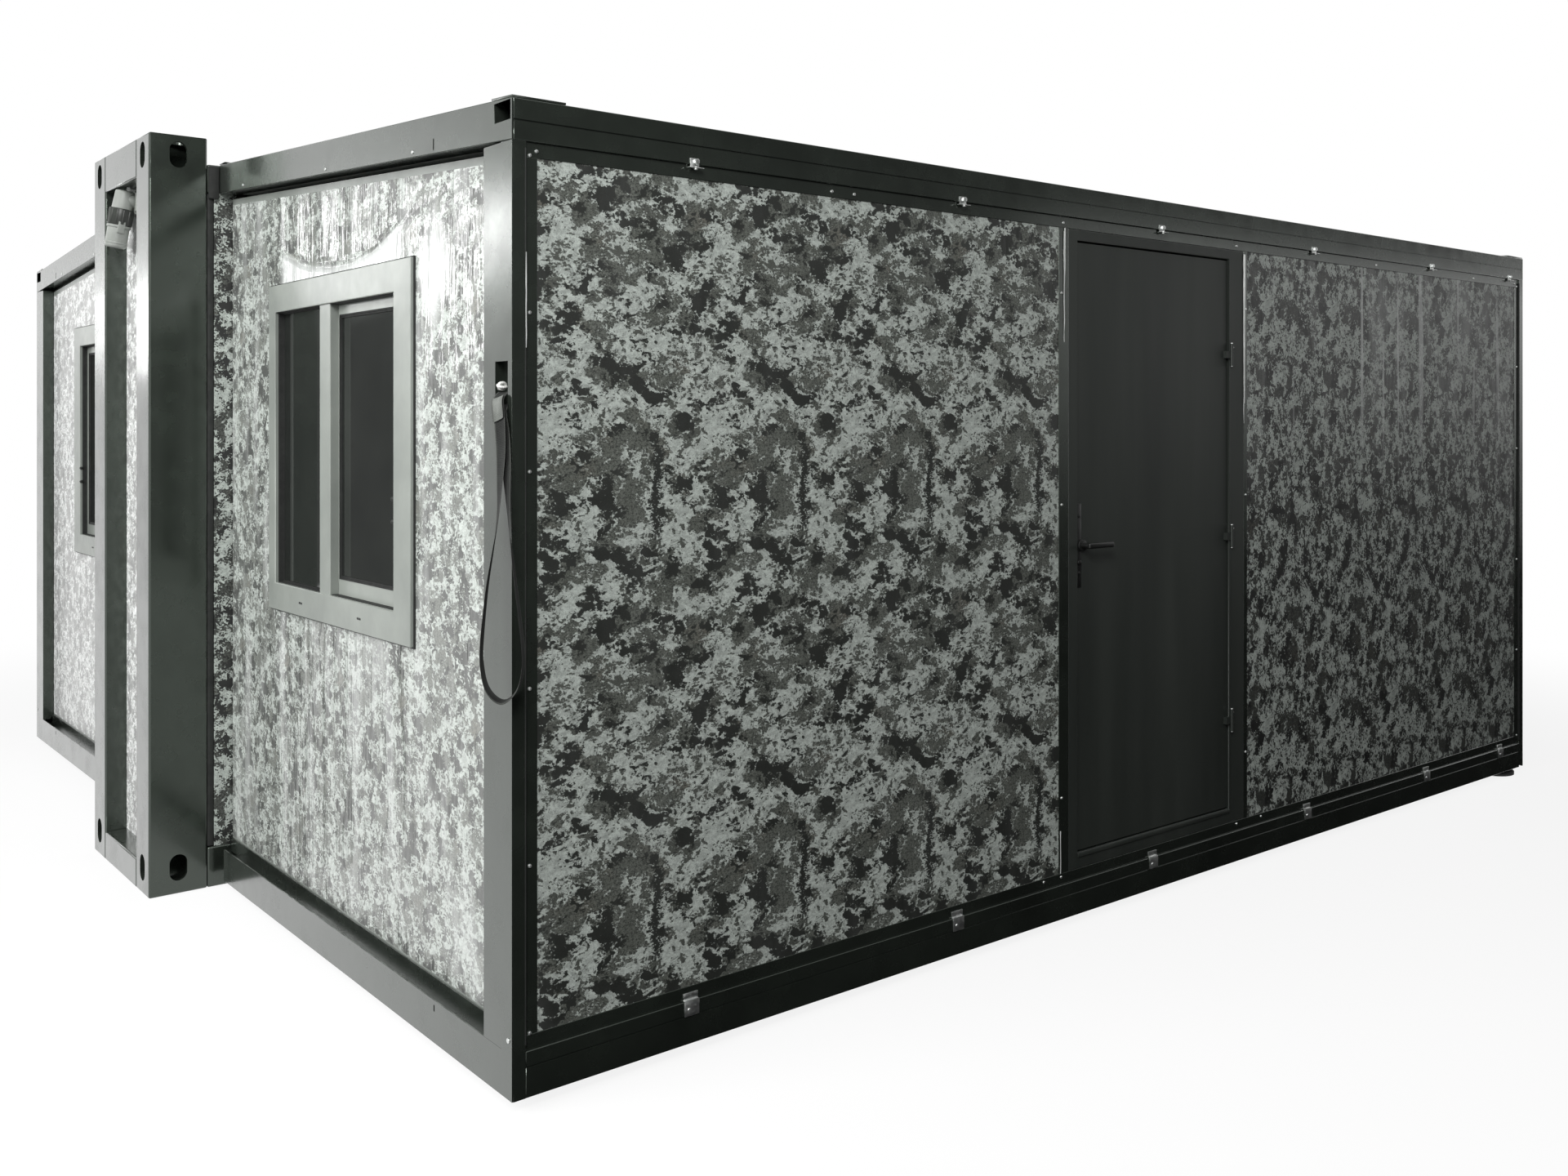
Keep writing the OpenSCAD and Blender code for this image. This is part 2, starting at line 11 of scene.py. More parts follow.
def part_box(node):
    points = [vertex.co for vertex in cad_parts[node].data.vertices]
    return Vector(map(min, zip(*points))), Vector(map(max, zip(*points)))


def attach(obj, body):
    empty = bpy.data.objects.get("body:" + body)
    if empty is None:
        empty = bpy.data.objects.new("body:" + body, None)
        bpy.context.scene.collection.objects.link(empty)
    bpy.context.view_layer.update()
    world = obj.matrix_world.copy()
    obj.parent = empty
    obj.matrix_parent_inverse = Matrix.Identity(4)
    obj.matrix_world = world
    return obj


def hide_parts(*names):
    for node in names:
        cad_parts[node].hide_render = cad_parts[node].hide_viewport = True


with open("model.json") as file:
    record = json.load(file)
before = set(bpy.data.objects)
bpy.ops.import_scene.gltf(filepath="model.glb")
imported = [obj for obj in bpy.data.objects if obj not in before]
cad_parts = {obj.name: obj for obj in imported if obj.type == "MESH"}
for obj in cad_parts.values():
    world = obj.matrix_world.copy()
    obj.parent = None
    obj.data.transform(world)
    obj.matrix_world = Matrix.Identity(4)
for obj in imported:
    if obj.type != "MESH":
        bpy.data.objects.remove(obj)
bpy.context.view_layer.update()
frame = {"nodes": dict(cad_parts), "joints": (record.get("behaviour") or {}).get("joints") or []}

bl_info = {
    "name": "Folding Office Finishes",
    "version": (1, 0, 0),
    "blender": (4, 5, 0),
    "location": "View3D > Sidebar > Office",
    "description": "Finishes, fittings and a studio for the folding container office",
    "category": "Object",
}

SIDES = (-1, 1)
QUARTERS = {
    "front_left": (-1, -1),
    "front_right": (1, -1),
    "back_left": (-1, 1),
    "back_right": (1, 1),
}

# Places on the frame, in metres, where no CAD node's box gives them
SIDE_FACE = 2.400  # outer face of the wing's rails, from the middle
TRACK_FACE = 2.394  # outer face of the tracks and strips on the long walls
END_FACE = 2.500  # outer face of the wing's end rails
EAVES_Z, ROOF_FALL = 2.280, 0.135 / 2.05
TRIM_FACE = 2.468  # outer face of the windows' trim
# Gasket corners of the windows' panes, in Y and Z where both are positive
FIXED_PANE = ((0.802, 1.054), (1.156, 1.896))
SASH_PANE = ((1.249, 1.104), (1.655, 1.860))
WINDOW_MIDDLE = 1.27  # from the building's middle, along the end wall
DOOR_OUTER, DOOR_INNER = -2.388, -2.348  # faces of the door leaf
HINGE_LEVELS = (0.524, 1.160, 1.787)

# Where the camouflage print starts again, along the wall and up it
PRINT_REPEAT = (0.462, 1.016)
# A print drawn finer than this has no stems
STEM_FINEST = 1.4

# Settings that many shader nodes share
BLEND = {"out": 2, "data_type": "RGBA"}
SOFT = {"interpolation_type": "SMOOTHSTEP"}
TIMES_PLUS = {"operation": "MULTIPLY_ADD"}


def linear(code):
    """An sRGB hex colour as Blender's linear red, green, blue and alpha"""
    parts = [int(code[i : i + 2], 16) / 255 for i in (1, 3, 5)]
    return (*(c / 12.92 if c <= 0.04045 else ((c + 0.055) / 1.055) ** 2.4 for c in parts), 1.0)


def add(tree, kind, inputs=(), out=0, stops=(), **settings):
    """Adds a shader node with its settings and links, and gives its output. inputs are
    sockets by name or number, or values for the first sockets in order. A stop's colour
    is a hex code, a linear colour or a level of grey."""
    node = tree.nodes.new("ShaderNode" + kind)
    for name, value in settings.items():
        setattr(node, name, value)
    if stops:
        marks = node.color_ramp.elements
        while len(marks) < len(stops):
            marks.new(1.0)
        for mark, (place, colour) in zip(marks, stops):
            if isinstance(colour, str):
                colour = linear(colour)
            elif isinstance(colour, float):
                colour = (colour, colour, colour)
            mark.position = place
            mark.color = (*colour[:3], 1.0)
    for name, value in inputs.items() if isinstance(inputs, dict) else enumerate(inputs):
        socket = node.inputs[name]
        if isinstance(value, bpy.types.NodeSocket):
            tree.links.new(value, socket)
        elif socket.type == "RGBA":
            socket.default_value = linear(value) if isinstance(value, str) else (*value[:3], 1.0)
        else:
            socket.default_value = value
    return node.outputs[out] if node.outputs else node


def emptied(owner):
    """The node tree of a new material or world, with nothing in it"""
    owner.use_nodes = True
    owner.node_tree.nodes.clear()
    return owner.node_tree


def finish(name, recipe, *args, **options):
    """A material whose shader takes what recipe(tree, ...) returns"""
    made = bpy.data.materials.get(name)
    if made:
        return made
    made = bpy.data.materials.new(name)
    tree = emptied(made)
    shader = add(tree, "BsdfPrincipled", recipe(tree, *args, **options))
    add(tree, "OutputMaterial", {"Surface": shader})
    return made


def metres(tree, stretch=(1, 1, 1)):
    """Places on the piece in metres, for patterns, stretched where a number is under 1"""
    place = add(tree, "TexCoord", out="Object")
    if tuple(stretch) == (1, 1, 1):
        return place
    return add(tree, "Mapping", {"Vector": place, "Scale": stretch})


def shades(tree, place, size, stops):
    """Colours or greys that wander between stops in patches about size metres across"""
    wander = add(tree, "TexNoise", {"Vector": place, "Scale": 1 / size, "Detail": 4.0, "Roughness": 0.55})
    return add(tree, "ValToRGB", (wander,), stops=stops)


def uneven(tree, place, scale, depth, strength, detail=2.0, **under):
    """A bumped normal over wandering hills and dips, scale of them to the metre and
    depth metres deep"""
    hills = add(tree, "TexNoise", {"Vector": place, "Scale": scale, "Detail": detail})
    return add(tree, "Bump", {"Height": hills, "Distance": depth, "Strength": strength, **under})


def scaled(ink, share):
    """A linear colour made darker or lighter"""
    return tuple(min(1.0, c * share) for c in ink[:3])


# ---------------------------------------------------------------- finishes


def sprayed_enamel(tree, dark, light):
    """Steel sprayed with semi-gloss enamel: an even coat with faint orange peel, cloudy
    where the coat is thin or dusty, and rain streaks down the upright faces.
    The peel of a real coat is about 2 mm across; it is drawn at 12 mm to show."""
    place = metres(tree)
    cloud = shades(tree, place, 0.45, [(0.30, dark), (0.52, light), (0.75, dark)])
    streak = shades(tree, metres(tree, (1, 1, 0.06)), 0.030, [(0.56, 0.0), (0.80, 0.35)])
    return {
        "Base Color": add(tree, "Mix", {0: streak, 6: cloud, 7: light}, **BLEND),
        "Roughness": shades(tree, place, 0.09, [(0.35, 0.16), (0.70, 0.34)]),
        "Normal": uneven(tree, place, 1 / 0.012, 0.0004, 0.25, 1.0),
        "Coat Weight": 1.0,
        "Coat Roughness": 0.14,
        "Specular Tint": (0.78, 1.0, 0.80),
    }


def door_coating(tree, dark, light):
    """Satin polyester on the door's steel skin: near black green, smooth, its colour streaked
    upright with a painted soft sheen, over a faint upright bump where the rolled skin isn't quite flat."""
    place = metres(tree, (1, 1, 0.10))
    return {
        # Painted sheen: the colour runs in upright lighter and darker streaks
        "Base Color": shades(tree, place, 0.22, [(0.30, dark), (0.70, light)]),
        "Roughness": shades(tree, place, 0.12, [(0.30, 0.38), (0.70, 0.50)]),
        "Normal": uneven(tree, metres(tree, (1, 1, 0.2)), 5.0, 0.004, 0.4),
    }


def print_place(tree, u, v, shift=0.0):
    """A place in four dimensions on which any noise starts again at each print repeat,
    and draws shapes a third wider than they are tall"""
    parts = []
    for run, repeat, squeeze in zip((u, v), PRINT_REPEAT, (1.0, 1.35)):
        turn = add(tree, "Math", (run, math.tau / repeat), operation="MULTIPLY")
        for wave in ("COSINE", "SINE"):
            part = add(tree, "Math", (turn,), operation=wave)
            parts.append(add(tree, "Math", (part, repeat * squeeze / math.tau, shift), **TIMES_PLUS))
    return {"Vector": add(tree, "CombineXYZ", parts[:3]), "W": parts[3]}


def leafy_print(tree, u, v, inks, fine):
    """Colour and speckles of a generic leafy camouflage in four inks: crisp lobes with
    speckled edges. Speckles of about 2 mm are drawn at 6 mm to show."""
    node = functools.partial(add, tree)
    light, mid, olive, dark = inks

    # A slow warp, then a place for each layer with its own shift so that they differ
    warp = {**print_place(tree, u, v), "Scale": 22.0 * fine, "Detail": 1.0, "Roughness": 0.5}
    warp = node("TexNoise", warp, out="Color", noise_dimensions="4D")
    warp = node("SeparateXYZ", (warp,)).node.outputs
    bent_u = node("Math", (warp[0], 0.05 / fine, u), **TIMES_PLUS)
    bent_v = node("Math", (warp[1], 0.035 / fine, v), **TIMES_PLUS)
    blots, leaves, sprigs = (print_place(tree, bent_u, bent_v, shift) for shift in (0.0, 7.3, -4.1))
    flat = print_place(tree, u, v, 2.2)
    small_lobes, large_lobes = (
        node("TexVoronoi", {**place, "Scale": scale * fine}, voronoi_dimensions="4D")
        for place, scale in ((blots, 66.0), (leaves, 44.0))
    )
    # Noises: place, scale to the metre, detail and roughness
    speckle, grain, blot_noise, leaf_noise, sprig_noise, cloud_noise, tint_noise = (
        node(
            "TexNoise", {**place, "Scale": scale, "Detail": detail, "Roughness": rough},
            noise_dimensions="4D",
        )
        for place, scale, detail, rough in (
            (flat, 170.0, 2.0, 0.75),
            (flat, 380.0, 1.0, 0.50),
            (blots, 12.0 * fine, 3.0, 0.50),
            (leaves, 9.0 * fine, 4.0, 0.55),
            (sprigs, 20.0 * fine, 3.0, 0.60),
            (sprigs, 60.0, 4.0, 0.75),
            (sprigs, 8.0, 3.0, 0.60),
        )
    )
    # Layers: their noise, the speckles' share, and the lobes with their share
    fields = []
    for field, crumbs, lobes, share in (
        (blot_noise, 0.22, small_lobes, 0.15),
        (leaf_noise, 0.32, large_lobes, 0.18),
        (sprig_noise, 0.42, small_lobes, 0.30),
    ):
        field = node("Math", (speckle, crumbs, field), **TIMES_PLUS)
        fields.append(node("Math", (lobes, share, field), **TIMES_PLUS))
    blot = node("MapRange", (fields[0], 0.618, 0.648), **SOFT)
    leaf = node("MapRange", (fields[1], 0.705, 0.755), **SOFT)

    # Leaf sprigs: dark crumbs that gather near the blots and thin out in the open
    crowd = node("MapRange", (fields[0], 0.62, 0.82), **SOFT)
    crowded = node("Math", (crowd, 0.08, fields[2]), **TIMES_PLUS)
    start = 0.850 if fine < STEM_FINEST else 0.858
    sprig = node("MapRange", (crowded, start, start + 0.05), **SOFT)

    if fine < STEM_FINEST:
        # One ragged stem in each repeat: where its middle lies, how ragged it is, half its
        # width or height, and how soft its edge is
        sway = node("Math", (warp[0], 0.045, u), **TIMES_PLUS)
        bounds = []
        for run, repeat, middle, ragged, half, blur in (
            (sway, PRINT_REPEAT[0], 0.228, 0.07, 0.045, 0.006),
            (v, PRINT_REPEAT[1], 0.369, 0.10, 0.150, 0.020),
        ):
            off = node("Math", (run, repeat, 0.0), operation="WRAP")
            off = node("Math", (off, middle), operation="SUBTRACT")
            off = node("Math", (off,), operation="ABSOLUTE")
            off = node("Math", (speckle, ragged, off), **TIMES_PLUS)
            bounds.append(node("MapRange", (off, half, half + blur), **SOFT))
        stem = node("Math", bounds, operation="MAXIMUM")
        blot = node("Math", (blot, stem), operation="MINIMUM")

    # The inks themselves are clouded, stippled and flecked
    cloud = node("MapRange", (node("Math", (grain, 0.5, cloud_noise), **TIMES_PLUS), 0.58, 0.92), **SOFT)
    pale = node("Mix", {0: cloud, 6: scaled(light, 0.66), 7: scaled(light, 1.2)}, **BLEND)
    tint = node("ValToRGB", (tint_noise,), stops=[(0.56, mid), (0.70, olive)])
    dots = node("Math", (speckle, 0.6, node("Math", (grain, 0.4), operation="MULTIPLY")), **TIMES_PLUS)
    stipple = node("MapRange", (dots, 0.38, 0.58), **SOFT)
    mids = node("Mix", {0: stipple, 6: scaled(dark, 1.6), 7: tint}, **BLEND)
    fleck = node("Mix", {0: grain, 6: scaled(dark, 1.2), 7: mid}, **BLEND)
    darks = node("Mix", {0: grain, 6: scaled(dark, 0.5), 7: scaled(dark, 1.7)}, **BLEND)
    colour = pale
    for layer, ink in ((sprig, fleck), (leaf, mids), (blot, darks)):
        colour = node("Mix", {0: layer, 6: ink, 7: colour}, **BLEND)
    return colour, speckle


def clear_cover(tree, along, height, haze, slack, streaks):
    """Wrinkles and milkiness of the loose clear film, with painted light in its colour: long
    wrinkles that catch a milky dust, whose strength per wall is partly a painted wash; thin
    streaks high up where streaks is over 0, with the milk fading out lower down as a painted
    lighter top; and a swag over each window where slack is over 1, with pale fold crests and
    painted white glare. along and height are places on the wall in metres."""
    node = functools.partial(add, tree)
    tall = {"Vector": metres(tree, (1, 1, 0.16)), "Scale": 9.0, "Detail": 4.0, "Roughness": 0.6}
    tall = node("TexNoise", tall)
    waves = {"Vector": metres(tree, (0.35, 0.35, 1)), "Scale": 4.0, "Detail": 3.0, "Distortion": 1.2}
    waves = node("TexNoise", waves)
    wrinkle = node("Math", (tall, 0.65, node("Math", (waves, 0.35), operation="MULTIPLY")), **TIMES_PLUS)
    milk_and_glare = node("MapRange", (tall, 0.50, 0.66, 0.0, haze))
    if streaks:
        thin = node("TexNoise", {"Vector": metres(tree, (1, 1, 0.03)), "Scale": 22.0, "Detail": 0.0})
        thin = node("MapRange", (thin, 0.715, 0.755), **SOFT)
        milk_and_glare = node("Math", (thin, streaks, milk_and_glare), **TIMES_PLUS)
        # Painted lighter top: the milk and its streaks fade out downwards from 1.9 m and are gone below 1.2
        # m, as reflected light would be
        high_up = node("MapRange", (height, 1.2, 1.9), **SOFT)
        milk_and_glare = node("Math", (milk_and_glare, high_up), operation="MULTIPLY")
    if slack <= 1:
        return wrinkle, milk_and_glare

    # Over each window the film hangs in a swag, with upright folds above its line
    centre = node("Math", (node("Math", (along,), operation="ABSOLUTE"), WINDOW_MIDDLE), operation="SUBTRACT")
    hang = node("Math", (centre, centre), operation="MULTIPLY")
    above = node("Math", (waves, 0.05, node("Math", (height, 2.022), operation="SUBTRACT")), **TIMES_PLUS)
    above = node("Math", (hang, -0.42, above), **TIMES_PLUS)
    line = node("MapRange", (node("Math", (above,), operation="ABSOLUTE"), 0.0, 0.016), **SOFT)
    over = node("MapRange", (node("Math", (centre,), operation="ABSOLUTE"), 0.40, 0.48, 1.0, 0.0), **SOFT)
    folds = {"Vector": metres(tree, (0.0, 1.0, 0.10)), "Scale": 1.5, "Distortion": 2.2}
    folds = node("TexWave", {**folds, "Detail": 1.0, "Detail Scale": 1.5}, out=1, bands_direction="Y")
    folds = node("Math", (folds, node("MapRange", (above, 0.0, 0.03), **SOFT)), operation="MULTIPLY")
    swag = node("Math", (folds, 0.55, node("Math", (line, -0.45), operation="MULTIPLY")), **TIMES_PLUS)
    swag = node("Math", (swag, over), operation="MULTIPLY")
    wrinkle = node("Math", (swag, 0.5, wrinkle), **TIMES_PLUS)
    # Pale fold crests: partly milky creases, partly a painted highlight on the folds
    milk_and_glare = node("Math", (milk_and_glare, node("MapRange", (swag, 0.30, 0.44), **SOFT)), operation="MAXIMUM")

    # Painted white glare, a painted reflection, under the swag and beside the window's head
    under = node("MapRange", (above, -0.012, 0.012, 1.0, 0.0), **SOFT)
    under = node("Math", (under, node("MapRange", (height, 1.92, 1.94), **SOFT)), operation="MULTIPLY")
    under = node("Math", (under, over), operation="MULTIPLY")
    off = []
    for place, middle, wander, share in ((centre, 0.66, waves, 0.05), (height, 1.99, tall, 0.10)):
        place = node("Math", (place, middle), operation="SUBTRACT")
        place = node("Math", (wander, share, place), **TIMES_PLUS)
        off.append(node("Math", (place,), operation="ABSOLUTE"))
    corner = node("Math", (off[0], 1.4, off[1]), **TIMES_PLUS)
    corner = node("MapRange", (corner, 0.06, 0.22, 1.0, 0.0), **SOFT)
    painted_glare = node("Math", (node("Math", (under, corner), operation="MAXIMUM"), 0.8), operation="MULTIPLY")
    return wrinkle, node("Math", (milk_and_glare, painted_glare), operation="MAXIMUM")


def camouflage_film(tree, inks, along, inner, stretch, haze, fine, slack=1.0, streaks=0.0):
    """Steel faced sandwich panel under a printed film and a loose, glossy clear one. The
    inner face, inner metres from the building's middle, is plain coated steel."""
    node = functools.partial(add, tree)
    axes = node("SeparateXYZ", (metres(tree),)).node.outputs
    u = node("Math", (axes[along], stretch[0]), operation="MULTIPLY")
    v = node("Math", (axes["Z"], stretch[1]), operation="MULTIPLY")
    colour, speckle = leafy_print(tree, u, v, inks, fine)
    wrinkle, milk_and_glare = clear_cover(tree, axes[along], axes["Z"], haze, slack, streaks)
    # The milky film over the print, with its painted wash, painted lighter top and painted glare
    colour = node("Mix", {0: milk_and_glare, 6: colour, 7: "#d9dcda"}, **BLEND)

    liner = shades(tree, metres(tree), 0.5, [(0.3, "#c9ccc8"), (0.7, "#d4d7d3")])
    depth = node("Math", (axes["Y" if along == "X" else "X"],), operation="ABSOLUTE")
    inside = node("Math", (depth, inner), operation="LESS_THAN")
    taut = {"Height": wrinkle, "Distance": 0.012 * slack, "Strength": 0.25}
    loose = {"Height": wrinkle, "Distance": 0.012 * slack, "Strength": 0.5 if slack <= 1 else 0.8}
    relief = {"Height": speckle, "Distance": 0.0003, "Strength": 0.3, "Normal": node("Bump", taut)}
    return {
        "Base Color": node("Mix", {0: inside, 6: colour, 7: liner}, **BLEND),
        "Roughness": shades(tree, metres(tree), 0.05, [(0.3, 0.42), (0.7, 0.58)]),
        "Normal": node("Bump", relief),
        "Coat Weight": 0.3 if slack <= 1 else 1.0,
        "Coat Roughness": 0.12,
        "Coat Normal": node("Bump", loose),
    }


def powder_coat(tree, dark, light):
    """Window aluminium under satin powder coat: pale, very even, finely pebbled.
    The pebbles are 0.5 mm across in life and are drawn at 5 mm to show."""
    place = metres(tree)
    return {
        "Base Color": shades(tree, place, 0.25, [(0.3, dark), (0.7, light)]),
        "Roughness": shades(tree, place, 0.04, [(0.3, 0.30), (0.7, 0.42)]),
        "Coat Weight": 0.3,
        "Coat Roughness": 0.18,
        "Normal": uneven(tree, place, 200.0, 0.0002, 0.3, Normal=uneven(tree, place, 5.0, 0.006, 0.5)),
    }


def float_glass(tree):
    """Tinted float glass: dark, sharp reflections, a little rougher in patches."""
    place = metres(tree)
    return {
        "Base Color": shades(tree, place, 0.20, [(0.35, "#3e423f"), (0.75, "#4c504c")]),
        "Roughness": shades(tree, place, 0.15, [(0.3, 0.02), (0.8, 0.06)]),
        "IOR": 1.5,
        "Transmission Weight": 0.75,
        "Normal": uneven(tree, place, 3.0, 0.001, 0.1, 1.0),
    }


def rubber(tree):
    """Extruded EPDM: black, dull, a little grey with bloom where it is handled."""
    place = metres(tree)
    return {
        "Base Color": shades(tree, place, 0.06, [(0.3, "#141514"), (0.75, "#232523")]),
        "Roughness": shades(tree, place, 0.02, [(0.3, 0.65), (0.7, 0.85)]),
        "Normal": uneven(tree, place, 300.0, 0.0002, 0.4),
    }


def moulded_plastic(tree, dark, light, rough=0.42):
    """Injection moulded thermoplastic: an even colour with a fine spark-eroded grain,
    drawn at 3 mm for a real 0.3 mm."""
    place = metres(tree)
    return {
        "Base Color": shades(tree, place, 0.08, [(0.3, dark), (0.7, light)]),
        "Roughness": shades(tree, place, 0.03, [(0.3, rough - 0.06), (0.7, rough + 0.08)]),
        "Normal": uneven(tree, place, 330.0, 0.0002, 0.35),
    }


def zinc_plate(tree, dark="#c3c6c4", light="#eceeec"):
    """Bright zinc plated steel: metallic, with the crystals' slow change from patch to
    patch and a dulled, rougher bloom."""
    place = metres(tree)
    crystals = add(tree, "TexVoronoi", {"Vector": place, "Scale": 160.0}, out="Color")
    return {
        "Base Color": shades(tree, place, 0.03, [(0.3, dark), (0.7, light)]),
        "Metallic": 1.0,
        "Roughness": add(tree, "MapRange", {0: crystals, 3: 0.28, 4: 0.48}),
        "Normal": uneven(tree, place, 250.0, 0.0002, 0.3),
    }


def woven_webbing(tree, dark, light):
    """Polyester webbing, 50 mm wide: ribs across it every 1.6 mm, drawn every 4 mm, and a painted
    highlight along both edges, a paler colour where the edge yarns catch the light. Follows the strap's own
    map."""
    strap = add(tree, "SeparateXYZ", (add(tree, "TexCoord", out="UV"),)).node.outputs
    rib = add(tree, "Math", (strap["Y"], math.tau / 0.004), operation="MULTIPLY")
    rib = add(tree, "Math", (add(tree, "Math", (rib,), operation="SINE"), 0.5, 0.5), **TIMES_PLUS)
    middle = add(tree, "Math", (strap["X"], 0.5), operation="SUBTRACT")
    middle = add(tree, "Math", (middle,), operation="ABSOLUTE")
    # Painted highlight along both edges of the strap
    selvedge_highlight = add(tree, "MapRange", (middle, 0.40, 0.47))
    base = shades(tree, metres(tree), 0.03, [(0.3, dark), (0.7, light)])
    return {
        "Base Color": add(tree, "Mix", {0: selvedge_highlight, 6: base, 7: "#444643"}, **BLEND),
        "Roughness": add(tree, "MapRange", {0: rib, 3: 0.70, 4: 0.85}),
        "Specular IOR Level": 0.2,
        "Sheen Weight": 0.05,
        "Normal": add(tree, "Bump", {"Height": rib, "Distance": 0.0006, "Strength": 0.6}),
    }


def facing(tree, limit):
    """1 where the surface's upward share is under limit, so that an underside differs"""
    up = add(tree, "SeparateXYZ", (add(tree, "NewGeometry", out="Normal"),)).node.outputs["Z"]
    return add(tree, "Math", (up, limit), operation="LESS_THAN")


def roof_steel(tree):
    """Roll formed roof sheet under pale grey polyester: dull, chalked and dusty, with
    faint dirt lying along the fall. The underside is a white ceiling panel."""
    place = metres(tree)
    top = shades(tree, metres(tree, (1, 0.2, 1)), 0.20, [(0.3, "#7d827d"), (0.7, "#989d97")])
    ceiling = shades(tree, place, 0.6, [(0.3, "#d0d2cf"), (0.7, "#dcdedb")])
    return {
        "Base Color": add(tree, "Mix", {0: facing(tree, -0.5), 6: top, 7: ceiling}, **BLEND),
        "Roughness": shades(tree, place, 0.08, [(0.3, 0.5), (0.7, 0.68)]),
        "Normal": uneven(tree, place, 60.0, 0.0005, 0.3, 3.0),
    }


def floor_vinyl(tree):
    """Sheet vinyl on board: speckled warm grey with a soft wear sheen, planks 0.18 m wide
    with butt joints. The underside is bare galvanised sheet."""
    place = metres(tree)
    planks = add(tree, "TexBrick", {
        "Vector": place, "Color1": "#8f887b", "Color2": "#a09a8e", "Mortar": "#5e594f",
        "Scale": 1.0, "Mortar Size": 0.002, "Brick Width": 1.2, "Row Height": 0.18,
    })
    figure = shades(tree, metres(tree, (0.12, 1, 1)), 0.02, [(0.35, 0.72), (0.65, 1.0)])
    top = add(tree, "Mix", {0: 0.7, 6: planks, 7: figure}, blend_type="MULTIPLY", **BLEND)
    under = shades(tree, place, 0.05, [(0.3, "#6e7371"), (0.7, "#8b908d")])
    return {
        "Base Color": add(tree, "Mix", {0: facing(tree, 0.5), 6: top, 7: under}, **BLEND),
        "Roughness": shades(tree, place, 0.10, [(0.3, 0.35), (0.7, 0.5)]),
        "Normal": add(tree, "Bump", {"Height": figure, "Distance": 0.0003, "Strength": 0.3}),
    }


def film_edge_painted_highlight(tree):
    """Edge of the clear polythene that protects the panels: near white, a painted highlight along the edge,
    and milky where it is creased.
    """
    place = metres(tree, (1, 1, 0.15))
    return {
        "Base Color": shades(tree, place, 0.02, [(0.35, "#c3c6c3"), (0.65, "#eef0ee")]),
        "Roughness": shades(tree, place, 0.02, [(0.3, 0.12), (0.7, 0.3)]),
        "Normal": uneven(tree, place, 120.0, 0.0005, 0.3, 3.0),
    }


def white_cord(tree):
    """Twisted polyester cord: off white, with its strands drawn every 3 mm."""
    place = metres(tree)
    strands = add(tree, "TexWave", {"Vector": place, "Scale": 60.0, "Distortion": 2.0}, out=1)
    return {
        "Base Color": shades(tree, place, 0.01, [(0.3, "#c9cac6"), (0.7, "#e6e7e3")]),
        "Roughness": add(tree, "MapRange", {0: strands, 3: 0.6, 4: 0.85}),
        "Normal": add(tree, "Bump", {"Height": strands, "Distance": 0.0008, "Strength": 0.6}),
    }


# ------------------------------------------------------------ making pieces


def round_over(bm, edges, radius, segments):
    """Rounds edges in so many segments, and gives the new faces"""
    return bmesh.ops.bevel(
        bm, geom=list(edges), offset=radius, offset_type="OFFSET", segments=segments,
        profile=0.5, affect="EDGES", clamp_overlap=True, material=-1,
    )["faces"]


def block(bm, low, high, bevel=0.0, segments=2):
    """A box between two corners with its edges rounded"""
    low, high = Vector(map(min, low, high)), Vector(map(max, low, high))
    place = Matrix.Translation((low + high) / 2) @ Matrix.Diagonal((*(high - low), 1))
    before = set(bm.verts)
    verts = bmesh.ops.create_cube(bm, size=1, matrix=place)["verts"]
    if bevel:
        round_over(bm, {edge for vert in verts for edge in vert.link_edges}, bevel, segments)
    return [vert for vert in bm.verts if vert not in before]


def rod(bm, start, end, radius, sides=16, end_radius=None, bevel=0.0, segments=2):
    """A round bar from start to end, or a cone where end_radius differs"""
    start, end = Vector(start), Vector(end)
    run = end - start
    verts = bmesh.ops.create_cone(
        bm, cap_ends=True, segments=sides, depth=run.length,
        radius1=radius, radius2=radius if end_radius is None else end_radius,
        matrix=Matrix.Translation((start + end) / 2) @ run.to_track_quat("Z", "Y").to_matrix().to_4x4(),
    )["verts"]
    if bevel:
        edges = {edge for vert in verts for edge in vert.link_edges}
        rims = [edge for edge in edges if any(len(face.verts) == sides for face in edge.link_faces)]
        round_over(bm, rims, bevel, segments)


def ring(bm, x, low, high, width, depth):
    """A flat rectangular ring facing along X, from x to x + depth, width wide inwards.
    low and high are its outer corners in Y and Z."""
    (y0, z0), (y1, z1) = low, high
    place = Matrix.Translation((x, (y0 + y1) / 2, (z0 + z1) / 2)) @ Matrix.Rotation(math.pi / 2, 4, "Y")
    place = place @ Matrix.Diagonal((abs(z1 - z0), abs(y1 - y0), 1, 1))
    verts = bmesh.ops.create_grid(bm, x_segments=1, y_segments=1, size=0.5, matrix=place)["verts"]
    middle = verts[0].link_faces[0]
    bmesh.ops.inset_individual(bm, faces=[middle], thickness=width)
    around = list({face for vert in verts for face in vert.link_faces})
    bmesh.ops.delete(bm, geom=[middle], context="FACES_ONLY")
    out = bmesh.ops.extrude_face_region(bm, geom=around, use_keep_orig=True)["geom"]
    moved = [item for item in out if isinstance(item, bmesh.types.BMVert)]
    bmesh.ops.translate(bm, verts=moved, vec=(depth, 0, 0))


def crease(bm, angle=0.6):
    """Smooth shading, with creases where faces meet at more than angle"""
    for edge in bm.edges:
        edge.smooth = len(edge.link_faces) == 2 and edge.calc_face_angle() < angle
    for face in bm.faces:
        face.smooth = True


